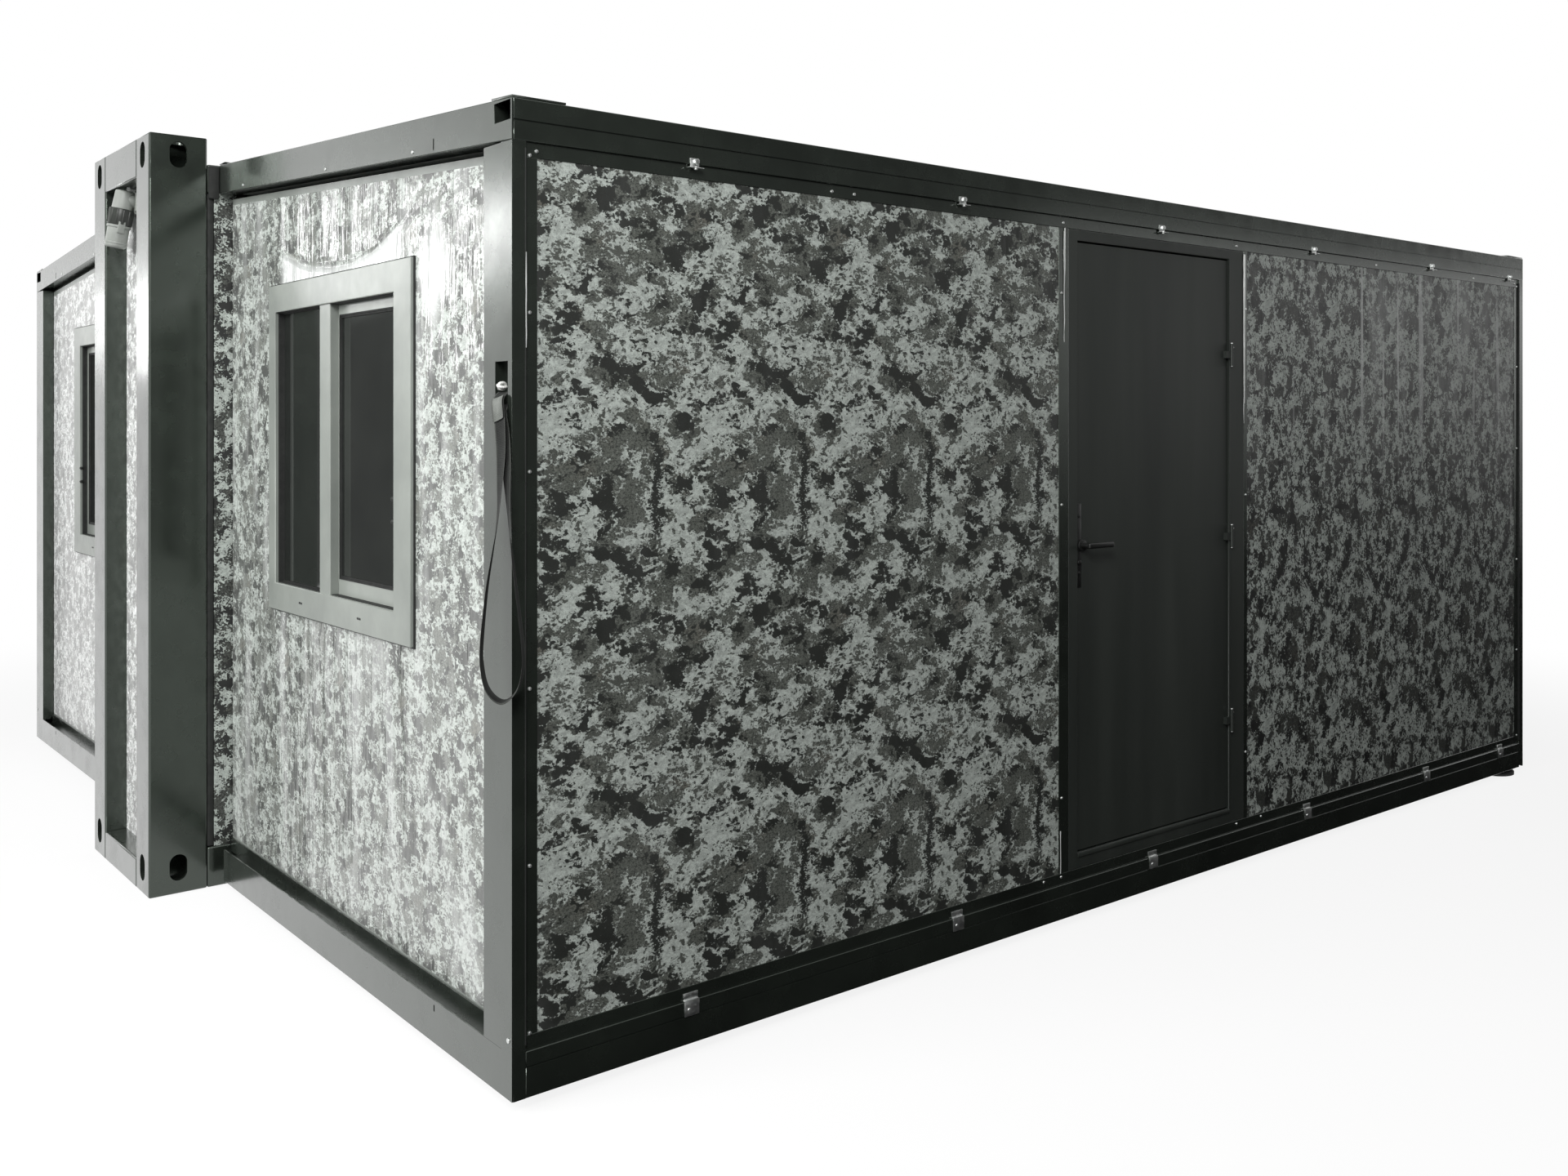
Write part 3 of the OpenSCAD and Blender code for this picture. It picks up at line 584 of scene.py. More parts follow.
def placed(name, bm, finish_of):
    """Makes the bmesh an object in the scene"""
    mesh = bpy.data.meshes.new(name)
    bm.to_mesh(mesh)
    bm.free()
    mesh.materials.append(finish_of)
    made = bpy.data.objects.new(name, mesh)
    bpy.context.scene.collection.objects.link(made)
    return made


def piece(name, bm, body, finish_of, stands_for=(), creased=True):
    """Makes the bmesh a piece that rides on a body"""
    if creased:
        bmesh.ops.recalc_face_normals(bm, faces=bm.faces)
        crease(bm)
    made = placed(name, bm, finish_of)
    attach(made, body)
    if stands_for:
        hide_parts(*stands_for)
    return made


def repaint(finish_of, *nodes):
    """Gives CAD nodes a finish"""
    for node in nodes:
        mesh = frame["nodes"][node].data
        mesh.materials.clear()
        mesh.materials.append(finish_of)


def bent_steel(node, body, finish_of, radius, breadth=0.024, welds=()):
    """Stands for a CAD node with its long outer edges rounded, as a press brake or an
    extrusion die leaves them. Edges at the heights of ground flush welds stay sharp."""
    bm = bmesh.new()
    bm.from_mesh(frame["nodes"][node].data)
    bmesh.ops.remove_doubles(bm, verts=bm.verts, dist=1e-5)
    bmesh.ops.dissolve_limit(bm, angle_limit=0.01, verts=bm.verts, edges=bm.edges)
    edges = []
    for edge in bm.edges:
        if len(edge.link_faces) != 2 or not edge.is_convex or edge.calc_face_angle() <= 0.8:
            continue
        broad = min(face.calc_area() for face in edge.link_faces) > breadth * edge.calc_length()
        welded = any(all(abs(vert.co.z - weld) < 0.001 for vert in edge.verts) for weld in welds)
        if broad and not welded:
            edges.append(edge)
    for face in round_over(bm, edges, radius, 3):
        face.smooth = True
    return piece(f"{node}_bent", bm, body, finish_of, (node,), creased=False)


def roof_z(y):
    """Top of the wing's roof rails at a distance y from the middle"""
    return EAVES_Z + (SIDE_FACE - abs(y)) * ROOF_FALL


def on_roof(verts):
    """Lets flat pieces follow the wing roof's fall"""
    for vert in verts:
        vert.co.z += roof_z(vert.co.y)


# ---------------------------------------------------------------- settings


def setting(group):
    return getattr(bpy.context.scene, group)


def number(name, description, value, **options):
    return bpy.props.FloatProperty(name=name, description=description, default=value, **options)


def hex_colour(name, description, code):
    return bpy.props.FloatVectorProperty(
        name=name, description=description, subtype="COLOR", size=3, min=0, max=1, default=linear(code)[:3]
    )


LENGTH = {"unit": "LENGTH", "precision": 4, "min": 0.0}


class OFFICE_PG_finishes(bpy.types.PropertyGroup):
    enamel_dark: hex_colour("Enamel, thin", "Frame enamel where the coat is thin", "#191c19")
    enamel_light: hex_colour("Enamel, full", "Frame enamel where the coat is full", "#232723")
    door_dark: hex_colour("Door, shade", "Door coating in its darker parts", "#262a27")
    door_light: hex_colour("Door, sheen", "Door coating in its lighter parts", "#353935")
    ink_light: hex_colour("Print ground", "Lightest ink of the camouflage", "#b3bab4")
    ink_mid: hex_colour("Print grey", "Mid grey ink of the camouflage", "#6e726b")
    ink_olive: hex_colour("Print olive", "Olive ink of the camouflage", "#74736a")
    ink_dark: hex_colour("Print black", "Darkest ink of the camouflage", "#353834")
    window_dark: hex_colour("Window, shade", "Window powder coat in its darker parts", "#7a7f7a")
    window_light: hex_colour("Window, light", "Window powder coat in its lighter parts", "#90958f")


class OFFICE_PG_sizes(bpy.types.PropertyGroup):
    bend: number("Bend radius", "Outer radius of the frame's steel bends", 0.006, **LENGTH)
    screw: number("Screw head", "Radius of the wall screws' heads", 0.005, **LENGTH)
    clip: number("Clip width", "Width of the clips along the long walls", 0.044, **LENGTH)
    strap_width: number("Strap width", "Width of the pull strap", 0.050, **LENGTH)
    strap_thickness: number("Strap thickness", "Thickness of the pull strap", 0.0026, **LENGTH)
    seal_bulb: number("Seal bulb", "Rounding of the rubber seals", 0.005, **LENGTH)


class OFFICE_PG_studio(bpy.types.PropertyGroup):
    camera_place: bpy.props.FloatVectorProperty(
        name="Camera place", description="Where the camera stands",
        subtype="XYZ", unit="LENGTH", default=(-4.03, -5.26, 1.549),
    )
    heading: number("Heading", "Turn of the camera about the upright", -0.6799, unit="ROTATION")
    lens: number("Lens", "Focal length", 32.73, unit="CAMERA")
    shift: number("Shift", "Upright shift of the lens", -0.1048)
    fill_power: number("Front fill", "Watts of the soft light on the entrance side", 230.0, unit="POWER")
    key_power: number("Key light", "Watts of the soft key light", 720.0, unit="POWER")
    glow_power: number("Window glow", "Watts of the strip that the end walls reflect", 66.0, unit="POWER")
    fill_level: number("Fill", "Level of the soft light from all round", 0.14)


# --------------------------------------------------------------- operators


class OFFICE_OT_camera(bpy.types.Operator):
    """Camera near the entrance side's left corner, at chest height"""
    bl_idname = "office.camera"
    bl_label = "Camera"

    def execute(self, context):
        studio = setting("office_studio")
        lens = bpy.data.cameras.new("camera")
        lens.lens = studio.lens
        lens.sensor_width = 36.0
        lens.shift_y = studio.shift
        lens.clip_end = 100.0
        camera = bpy.data.objects.new("camera", lens)
        context.scene.collection.objects.link(camera)
        camera.location = studio.camera_place
        camera.rotation_euler = (math.pi / 2, 0, studio.heading)
        context.scene.camera = camera
        return {"FINISHED"}


# Down the middle of the pull strap, in metres, with the heading of its width in degrees
STRAP = [
    (-2.492, -2.351, 1.622, 90), (-2.508, -2.354, 1.604, 90), (-2.513, -2.368, 1.560, 90),
    (-2.516, -2.380, 1.490, 86), (-2.520, -2.383, 1.420, 78), (-2.525, -2.384, 1.350, 68),
    (-2.535, -2.380, 1.270, 60), (-2.547, -2.377, 1.190, 56), (-2.557, -2.378, 1.110, 54),
    (-2.563, -2.380, 1.050, 53), (-2.563, -2.383, 1.010, 53), (-2.557, -2.389, 0.970, 53),
    (-2.544, -2.398, 0.945, 53), (-2.528, -2.411, 0.934, 53), (-2.512, -2.423, 0.945, 53),
    (-2.499, -2.433, 0.970, 53), (-2.493, -2.438, 1.010, 53), (-2.494, -2.438, 1.060, 53),
    (-2.500, -2.435, 1.120, 54), (-2.508, -2.432, 1.190, 55), (-2.515, -2.428, 1.260, 58),
    (-2.518, -2.420, 1.330, 66), (-2.516, -2.408, 1.400, 76), (-2.511, -2.392, 1.470, 86),
    (-2.507, -2.374, 1.530, 90), (-2.505, -2.357, 1.575, 90), (-2.494, -2.353, 1.592, 90),
]
STRAP_STEPS = 5
STRAP_CUP = 0.002  # how far the webbing's middle stands off its edges
HEM_HEIGHTS = (1.555, 1.612)
KNOT_PLACE = (-2.499, -2.352, 1.634)


def eased(points, steps):
    """Points with steps more between each two, on a smooth curve through them"""
    out = []
    last = len(points) - 1
    for i in range(last):
        a, b, c, d = (Vector(points[max(0, min(last, k))]) for k in (i - 1, i, i + 1, i + 2))
        for step in range(steps):
            t = step / steps
            bend, twist = 2 * a - 5 * b + 4 * c - d, 3 * b - a - 3 * c + d
            out.append(0.5 * (2 * b + (c - a) * t + bend * t * t + twist * t**3))
    return out + [Vector(points[-1])]


def ribbon(bm, places, width, thickness, across=8):
    """A flat strap through places, each a point and the heading of its width, with a UV
    map of a share of the width across and metres along"""
    rows = len(places)
    runs = [0.0]
    for a, b in zip(places, places[1:]):
        runs.append(runs[-1] + (b.xyz - a.xyz).length)
    grid = bmesh.ops.create_grid(bm, x_segments=across, y_segments=rows - 1, size=0.5, calc_uvs=True)
    # Column and row of each vertex in the flat grid, which is one metre square
    spots = {
        vert: (round((vert.co.x + 0.5) * across), round((vert.co.y + 0.5) * (rows - 1)))
        for vert in grid["verts"]
    }
    uv = bm.loops.layers.uv.verify()
    for face in bm.faces:
        for loop in face.loops:
            column, row = spots[loop.vert]
            loop[uv].uv = (column / across, runs[row])
    for vert, (column, row) in spots.items():
        here = places[row]
        ahead = (places[min(row + 1, rows - 1)] - places[max(row - 1, 0)]).xyz.normalized()
        turn = math.radians(here.w)
        side = Vector((math.cos(turn), math.sin(turn), 0))
        side = (side - side.dot(ahead) * ahead).normalized()
        out = side.cross(ahead)
        u = column / across - 0.5
        vert.co = here.xyz + side * (u * width) + out * (STRAP_CUP * (4 * u * u - 0.5))
    bmesh.ops.solidify(bm, geom=list(bm.faces), thickness=thickness)


class OFFICE_OT_pull_strap(bpy.types.Operator):
    """Webbing loop that hangs out of the corner post's slot, with its sewn hem and knot"""
    bl_idname = "office.pull_strap"
    bl_label = "Pull strap"

    def execute(self, context):
        sizes = setting("office_sizes")
        places = eased(STRAP, STRAP_STEPS)
        black = finish("black_webbing", woven_webbing, "#161716", "#262826")
        bm = bmesh.new()
        ribbon(bm, places, sizes.strap_width, sizes.strap_thickness)
        strap = piece("pull_strap_webbing", bm, "building", black, ("pull_strap",))

        pale = finish("grey_webbing", woven_webbing, "#555854", "#777a76")
        first_half = places[: len(places) // 2]
        top = [spot for spot in first_half if HEM_HEIGHTS[0] < spot.z < HEM_HEIGHTS[1]]
        bm = bmesh.new()
        ribbon(bm, [spot - Vector((0.0035, 0, 0, 0)) for spot in top], sizes.strap_width * 0.96, 0.003)
        hem = piece("pull_strap_hem", bm, "building", pale)

        # The knot is three rings of cord, each its own way round
        bm = bmesh.new()
        for turn, size in ((0.3, 0.010), (1.2, 0.008), (2.1, 0.009)):
            upright = Matrix.Translation((size, 0, 0)) @ Matrix.Rotation(math.pi / 2, 4, "X")
            start = bmesh.ops.create_circle(bm, segments=8, radius=0.0032, matrix=upright)["verts"]
            edges = list({edge for vert in start for edge in vert.link_edges})
            bmesh.ops.spin(
                bm, geom=start + edges, cent=(0, 0, 0), axis=(0, 0, 1),
                angle=math.tau, steps=16, use_merge=True,
            )
            loop = [vert for vert in bm.verts if not vert.tag]
            place = Matrix.Translation(KNOT_PLACE) @ Matrix.Rotation(turn, 4, "X")
            bmesh.ops.transform(bm, matrix=place @ Matrix.Rotation(turn * 0.7, 4, "Z"), verts=loop)
            for vert in loop:
                vert.tag = True
        knot = piece("pull_strap_knot", bm, "building", finish("white_cord", white_cord))

        return {"FINISHED"}


ENAMELLED = (
    "corner_castings", "core_posts", "core_end_beams", "core_side_rails", "floor_side_rails",
    "floor_end_rails", "roof_side_rails", "roof_end_rails", "corner_posts",
)


def enamel():
    colours = setting("office_finishes")
    return finish("frame_enamel", sprayed_enamel, tuple(colours.enamel_dark), tuple(colours.enamel_light))


class OFFICE_OT_steelwork(bpy.types.Operator):
    """Posts, rails, castings and beams in bent steel with enamel, and the wall tracks"""
    bl_idname = "office.steelwork"
    bl_label = "Steelwork"

    def execute(self, context):
        bend = setting("office_sizes").bend
        welds = tuple(corner.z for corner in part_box("core_posts"))
        for node in ENAMELLED:
            bent_steel(node, "building", enamel(), bend, welds=welds)
        for node in ("wall_tracks", "wall_edge_strips"):
            bent_steel(node, "building", enamel(), 0.001, 0.008)
        repaint(enamel(), "end_wall_hinges")
        coat = finish("track_coat", powder_coat, "#6d726d", "#868b86")
        for quarter in QUARTERS:
            bent_steel(f"{quarter}_tracks", f"{quarter}_end", coat, 0.002, 0.008)
        return {"FINISHED"}


# How the film differs from wall to wall: its finish's name, the nodes it is on, how strong
# each ink is, what is added to all four as a pale wash, and the film's own settings. The ink
# strengths, the wash and the film's haze paint each wall's light and shade: a pale painted
# wash where the end walls are lit, strongest on the core's and the back wing's, and darker
# inks as painted shade on the jamb and the smeared wall
WALL_PRINTS = (
    (
        "camouflage_long", ("front_wall_left", "back_wall"), (1.10, 0.90, 0.90, 0.5), 0.0,
        {"along": "X", "inner": 2.366, "stretch": (1.0, 1.0), "haze": 0.02, "fine": 1.15},
    ),
    (
        "camouflage_smeared", ("front_wall_right",), (1.0, 0.36, 0.38, 0.14), 0.0,
        {"along": "X", "inner": 2.366, "stretch": (1.05, 0.68), "haze": 0.22, "fine": 1.9, "streaks": 0.6},
    ),
    (
        "camouflage_jamb", ("core_jambs",), (1.0, 0.40, 0.50, 0.12), 0.0,
        {"along": "X", "inner": 0.0, "stretch": (1.0, 0.8), "haze": 0.0, "fine": 2.2},
    ),
    (
        "camouflage_end", ("front_left_wall", "front_right_wall"), (0.98, 1.1, 1.1, 0.9), 0.04,
        {"along": "Y", "inner": 2.428, "stretch": (1.1, 1.0), "haze": 0.35, "fine": 1.5, "slack": 2.4},
    ),
    (
        "camouflage_painted_pale", ("core_end_walls", "back_left_wall", "back_right_wall"),
        (1.3, 0.5, 0.5, 0.3), 0.30,
        {"along": "Y", "inner": 2.428, "stretch": (1.1, 0.9), "haze": 0.15, "fine": 1.7},
    ),
)

# Loose film edges, pale strips that are partly film edge and partly a painted highlight line: place along the
# wall, face, half width, foot, head and taper to the foot
LOOSE_EDGES = (
    (-0.607, TRACK_FACE, 0.0040, 1.80, 2.140, 0.8),
    (0.352, TRACK_FACE, 0.0035, 1.55, 2.142, 0.8),
    (-0.625, TRACK_FACE, 0.0015, 0.17, 0.300, 0.0),
    (-2.4655, SIDE_FACE + 0.0012, 0.0014, 1.72, 1.935, 0.0),
)


class OFFICE_OT_walls(bpy.types.Operator):
    """Camouflage film on every wall panel, and the loose edges of its clear cover"""
    bl_idname = "office.walls"
    bl_label = "Walls"

    def execute(self, context):
        colours = setting("office_finishes")
        inks = (colours.ink_light, colours.ink_mid, colours.ink_olive, colours.ink_dark)
        for name, nodes, light_and_shade_shares, painted_wash, film in WALL_PRINTS:
            # Each wall's inks, scaled and washed to paint that wall's light and shade
            inks_as_lit = tuple(tuple(c * share + painted_wash for c in ink) for ink, share in zip(inks, light_and_shade_shares))
            repaint(finish(name, camouflage_film, inks_as_lit, **film), *nodes)

        rng = random.Random(7)
        bm = bmesh.new()
        for x, face, half, foot, head, taper in LOOSE_EDGES:
            steps = max(4, int((head - foot) / 0.03))
            for vert in bmesh.ops.create_grid(bm, x_segments=2, y_segments=steps, size=0.5)["verts"]:
                up = vert.co.y + 0.5
                across = vert.co.x * 2 * half * (1 - taper * (1 - up)) + rng.uniform(-0.25, 0.25) * half
                out = face + 0.0012 + rng.uniform(0, 0.0015)
                vert.co = Vector((x + across, -out, foot + up * (head - foot)))
        bmesh.ops.solidify(bm, geom=list(bm.faces), thickness=-0.0006)
        # The film's cut edge, rolled up on both sides of the door, in the same pale finish with its painted
        # highlight
        for (x0, y0, z0, r0), (x1, y1, z1, r1) in (
            ((0.3555, 0.0022, 1.62, 0.0012), (0.3565, 0.0026, 2.140, 0.0030)),
            ((-0.6040, 0.0022, 2.02, 0.0010), (-0.6050, 0.0024, 2.150, 0.0022)),
        ):
            rod(bm, (x0, -TRACK_FACE - y0, z0), (x1, -TRACK_FACE - y1, z1), r0, 10, r1)
        piece("film_edges", bm, "building", finish("film_edge_painted_highlight", film_edge_painted_highlight))
        return {"FINISHED"}


# Rubber round the panes and the frame, the last ring a black outline round the trim that
# paints the shadow gap at its edge: its face from the middle, its outer corners in Y
# and Z where both are positive, its width, and its depth outwards
GASKETS = (
    (2.4392, *FIXED_PANE, 0.008, 0.004),
    (2.4298, *FIXED_PANE, 0.008, 0.004),
    (2.4312, *SASH_PANE, 0.008, 0.004),
    (2.4218, *SASH_PANE, 0.008, 0.004),
    (2.4385, (0.801, 1.053), (1.689, 1.897), 0.0045, 0.0190),
    (2.4358, (1.245, 1.100), (1.659, 1.864), 0.0065, 0.0020),
    # A black ring behind the trim's outer edge: painted shade of the gap round the trim
    (2.4542, (0.7405, 0.9665), (1.7975, 1.9835), 0.010, 0.0050),
)


class OFFICE_OT_windows(bpy.types.Operator):
    """Powder coated frames with gaskets, drain slots, a sash pull and tinted glass"""
    bl_idname = "office.windows"
    bl_label = "Windows"

    def execute(self, context):
        colours = setting("office_finishes")
        dark, light = tuple(colours.window_dark), tuple(colours.window_light)
        coat = finish("window_powder_coat", powder_coat, dark, light)
        glass = finish("tinted_glass", float_glass)
        black = finish("black_rubber", rubber)
        latch = finish("latch_black", moulded_plastic, "#181a18", "#272927")
        for quarter, (sx, sy) in QUARTERS.items():
            body = f"{quarter}_end"
            bent_steel(f"{quarter}_window", body, coat, 0.0025, 0.006)
            repaint(glass, f"{quarter}_glass")
            bm = bmesh.new()
            for x, (y0, z0), (y1, z1), width, depth in GASKETS:
                ring(bm, sx * x, (sy * y0, z0), (sy * y1, z1), width, sx * depth)
            # Brush seal between the fixed pane's mullion and the sash
            block(bm, (sx * 2.437, sy * 1.216, 1.062), (sx * 2.4405, sy * 1.224, 1.888), 0.001)
            piece(f"{quarter}_gaskets", bm, body, black)

            bm = bmesh.new()
            for y in (1.02, 1.46):
                low = (sx * (TRIM_FACE - 0.001), sy * (y - 0.012), 1.007)
                block(bm, low, (sx * (TRIM_FACE + 0.0015), sy * (y + 0.012), 1.013), 0.0012)
            for z in (1.29, 1.35):
                rod(bm, (sx * 2.455, sy * 1.685, z), (sx * 2.469, sy * 1.676, z), 0.006, 10, bevel=0.002)
            # Crescent latch and pull on the sash's inner face
            block(bm, (sx * 2.404, sy * 1.226, 1.44), (sx * 2.420, sy * 1.240, 1.52), 0.003)
            block(bm, (sx * 2.396, sy * 1.228, 1.47), (sx * 2.404, sy * 1.262, 1.485), 0.003)
            piece(f"{quarter}_window_fittings", bm, body, latch)
        return {"FINISHED"}


class OFFICE_OT_door(bpy.types.Operator):
    """Door leaf and frame, lock plates, lever handles, hinge pins, seal and sill"""
    bl_idname = "office.door"
    bl_label = "Door"

    def execute(self, context):
        colours = setting("office_finishes")
        coat = finish("door_coat", door_coating, tuple(colours.door_dark), tuple(colours.door_light))
        black = finish("lock_black", moulded_plastic, "#0f100f", "#1c1d1c", 0.38)
        faces = ((DOOR_OUTER, -1), (DOOR_INNER, 1))
        repaint(coat, "door_leaf", "door_hinges")
        bent_steel("door_frame", "building", coat, 0.0025, 0.012)

        bm = bmesh.new()
        lock = -0.5345
        for face, out in faces:
            block(bm, (lock - 0.013, face, 1.040), (lock + 0.013, face + out * 0.004, 1.300), 0.0015)
            # Two screws and the key cylinder: height, reach, radius, sides and rounding
            for z, reach, radius, sides, bevel in (
                (1.085, 0.0065, 0.0055, 12, 0.0010),
                (1.262, 0.0065, 0.0055, 12, 0.0010),
                (1.118, 0.0100, 0.0075, 16, 0.0015),
            ):
                start = (lock, face + out * 0.003, z)
                rod(bm, start, (lock, face + out * reach, z), radius, sides, bevel=bevel)
        piece("door_lock_plates", bm, "door", black)

        pivot = next(joint for joint in frame["joints"] if joint["name"] == "lever_press")["pos_m"]
        x, z = pivot[0], pivot[2]
        bm = bmesh.new()
        for face, out in faces:
            rod(bm, (x, face + out * 0.004, z), (x, face + out * 0.011, z), 0.019, 24, bevel=0.002)
            rod(bm, (x, face + out * 0.006, z), (x, face + out * 0.044, z), 0.0085, 16, bevel=0.002)
            low = (x - 0.009, face + out * 0.033, z - 0.0085)
            block(bm, low, (x + 0.112, face + out * 0.045, z + 0.0085), 0.0045, 3)
        rod(bm, (x, DOOR_OUTER - 0.004, z), (x, DOOR_INNER + 0.004, z), 0.007, 12)
        piece("lever_handles", bm, "lever", black, ("door_lever",))

        # Stop and bulb seal behind the leaf, round the frame's opening
        bm = bmesh.new()
        x0, z0, x1, z1 = -0.541, 0.218, 0.266, 2.117
        wide = 0.014
        for left, foot, right, head in (
            (x0, z0, x0 + wide, z1),
            (x1 - wide, z0, x1, z1),
            (x0, z1 - wide, x1, z1),
            (x0, z0, x1, z0 + wide),
        ):
            block(bm, (left, -2.3465, foot), (right, -2.3405, head), 0.002)
        piece("door_stop_seal", bm, "building", finish("black_rubber", rubber))

        bm = bmesh.new()
        for level in HINGE_LEVELS:
            for end in SIDES:
                start = (0.272, -2.401, level + end * 0.037)
                rod(bm, start, (0.272, -2.401, level + end * 0.0415), 0.0045, 12, bevel=0.0015)
            start = (0.284, -2.398, level + 0.026)
            rod(bm, start, (0.284, -2.4005, level + 0.026), 0.003, 10, bevel=0.0008)
        piece("hinge_pin_caps", bm, "building", finish("zinc", zinc_plate))

        # A bead along the frame's hinge side and a sill plate, both in the door's coat
        bm = bmesh.new()
        block(bm, (0.2672, -2.3935, 0.224), (0.2706, -2.3962, 2.113), 0.001)
        block(bm, (-0.541, -2.3935, 0.204), (0.266, -2.3975, 0.2165), 0.001)
        piece("door_beads", bm, "building", coat)
        return {"FINISHED"}


# Clips along the long walls: distances in metres along X
TOP_CLIPS = (-2.001, -1.059, -0.124, 0.795, 1.677, 2.368)
FOOT_CLIPS = (-2.009, -1.076, -0.167, 0.755, 1.641, 2.288)

# A clip's plates: share of the clip's width, then Y and Z of two corners
TOP_PLATES = (
    (0.6, (2.400, 2.176), (2.4025, 2.200)),
    (1.0, (2.400, 2.175), (2.4120, 2.177)),
)
FOOT_PLATES = (
    (1.0, (2.400, 0.099), (2.4025, 0.1375)),
    (1.0, (2.394, 0.135), (2.4025, 0.1375)),
    (1.0, (2.394, 0.135), (2.3965, 0.154)),
)

# Screws on the long walls: along X, and up
SCREWS = (
    *((x, z) for x in (-2.452, 2.452) for z in (0.172, 0.55, 0.95, 1.44, 1.80, 2.155)),
    *((x, z) for x in (-0.618, 0.365) for z in (0.40, 1.30, 1.95)),
    *((x, 2.166) for x in (-2.435, -1.55, -1.47, -0.61, 0.31, 1.25, 2.05, 2.43)),
    *((x, 0.158) for x in (-0.70, -0.62, 0.31, 0.46)),
)


class OFFICE_OT_fixings(bpy.types.Operator):
    """Screws, and the clips that hold the long walls to the rails"""
    bl_idname = "office.fixings"
    bl_label = "Fixings"

    def execute(self, context):
        sizes = setting("office_sizes")
        zinc = finish("zinc", zinc_plate)
        bm = bmesh.new()
        for side in SIDES:
            for places, plates in ((TOP_CLIPS, TOP_PLATES), (FOOT_CLIPS, FOOT_PLATES)):
                for x in places:
                    for share, (y0, z0), (y1, z1) in plates:
                        half = share * sizes.clip / 2
                        block(bm, (x - half, side * y0, z0), (x + half, side * y1, z1), 0.0008)
            # A hexagon bolt and a pin to each clip at the head, and a screw to each at the foot
            for x in TOP_CLIPS:
                start = (x + 0.004, side * 2.402, 2.192)
                rod(bm, start, (x + 0.004, side * 2.409, 2.192), 0.0075, 6, bevel=0.001)
                rod(bm, (x, side * 2.4065, 2.1785), (x, side * 2.4065, 2.171), 0.005, 10, bevel=0.001)
            for x in FOOT_CLIPS:
                start = (x - 0.008, side * 2.4015, 0.114)
                rod(bm, start, (x - 0.008, side * 2.4050, 0.114), 0.0055, 10, bevel=0.001)
        piece("wall_clips_bolted", bm, "building", zinc, ("wall_clips",))

        bm = bmesh.new()
        head = {"radius": sizes.screw, "sides": 10, "end_radius": sizes.screw * 0.8, "bevel": 0.0008}
        for x, z in SCREWS:
            for side in SIDES:
                rod(bm, (x, side * (TRACK_FACE - 0.001), z), (x, side * (TRACK_FACE + 0.0032), z), **head)
        for sx, sy in QUARTERS.values():
            for y in (0.60, 1.30, 1.88):
                z = roof_z(y) - 0.082
                rod(bm, (sx * END_FACE, sy * y, z), (sx * (END_FACE + 0.003), sy * y, z), **head)
            rod(bm, (sx * 2.4995, sy * 2.385, 0.165), (sx * 2.503, sy * 2.385, 0.165), 0.006, 10, bevel=0.001)
        piece("screws", bm, "building", zinc)
        return {"FINISHED"}


class OFFICE_OT_seals(bpy.types.Operator):
    """Rubber seals at the core and the flashings over its joints"""
    bl_idname = "office.seals"
    bl_label = "Seals and flashings"

    def execute(self, context):
        bulb = setting("office_sizes").seal_bulb
        bm = bmesh.new()
        for sx, sy in QUARTERS.values():
            block(bm, (sx * 2.5125, sy * 0.296, 0.137), (sx * 2.5355, sy * 0.349, 2.318), bulb)
            block(bm, (sx * 2.5005, sy * 0.352, 2.300), (sx * 2.5340, sy * 0.366, 2.408), 0.003)
            # Black line between the corner post and the wall's edge strip, painted shade standing for the
            # groove between them
            block(bm, (sx * 2.4672, sy * 2.392, 0.150), (sx * 2.4640, sy * 2.4012, 2.170), 0.0008)
        piece("core_seals", bm, "building", finish("black_rubber", rubber))
        bm = bmesh.new()
        for sy in SIDES:
            block(bm, (-2.497, sy * 0.352, 2.4165), (2.497, sy * 0.410, 2.4190), 0.001)
        piece("core_flashings", bm, "building", enamel())
        return {"FINISHED"}


class OFFICE_OT_roof(bpy.types.Operator):
    """Roof sheets with their ribs and the cover plates at the wings' corners"""
    bl_idname = "office.roof"
    bl_label = "Roof"

    def execute(self, context):
        sheet = finish("roof_coated_steel", roof_steel)
        repaint(sheet, "core_roof", "front_roof_panel", "back_roof_panel")
        bm = bmesh.new()
        for sy in SIDES:
            for i in range(11):
                x = -2.2 + 0.44 * i
                rib = block(bm, (x - 0.016, sy * 0.43, -0.0095), (x + 0.016, sy * 2.325, -0.001))
                on_roof(rib)
                # A rib's crown is narrower than its foot
                for vert in rib:
                    if vert.co.z > roof_z(vert.co.y) - 0.005:
                        vert.co.x = x + (vert.co.x - x) * 0.55
        piece("roof_ribs", bm, "building", sheet)
        bm = bmesh.new()
        for sx, sy in QUARTERS.values():
            on_roof(block(bm, (sx * 2.499, sy * 2.30, 0.0005), (sx * 2.36, sy * 2.399, 0.006), 0.0012))
        piece("roof_corner_covers", bm, "building", enamel())
        return {"FINISHED"}


class OFFICE_OT_floors(bpy.types.Operator):
    """Vinyl floors, and the strips over the joints between the wings and the core"""
    bl_idname = "office.floors"
    bl_label = "Floors"

    def execute(self, context):
        repaint(finish("floor_vinyl", floor_vinyl), "core_floor", "front_floor_panel", "back_floor_panel")
        top = max(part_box(node)[1].z for node in ("core_floor", "front_floor_panel"))
        brushed = finish("brushed_strip", zinc_plate, "#8f9290", "#a5a8a5")
        bm = bmesh.new()
        for sy in SIDES:
            block(bm, (-2.40, sy * 0.300, top + 0.0003), (2.40, sy * 0.405, top + 0.0033), 0.0012)
            for i in range(13):
                x = -2.34 + 0.39 * i
                start = (x, sy * 0.318, top + 0.003)
                rod(bm, start, (x, sy * 0.318, top + 0.0045), 0.004, 10, bevel=0.0006)
        piece("floor_joint_strips", bm, "building", brushed)
        return {"FINISHED"}


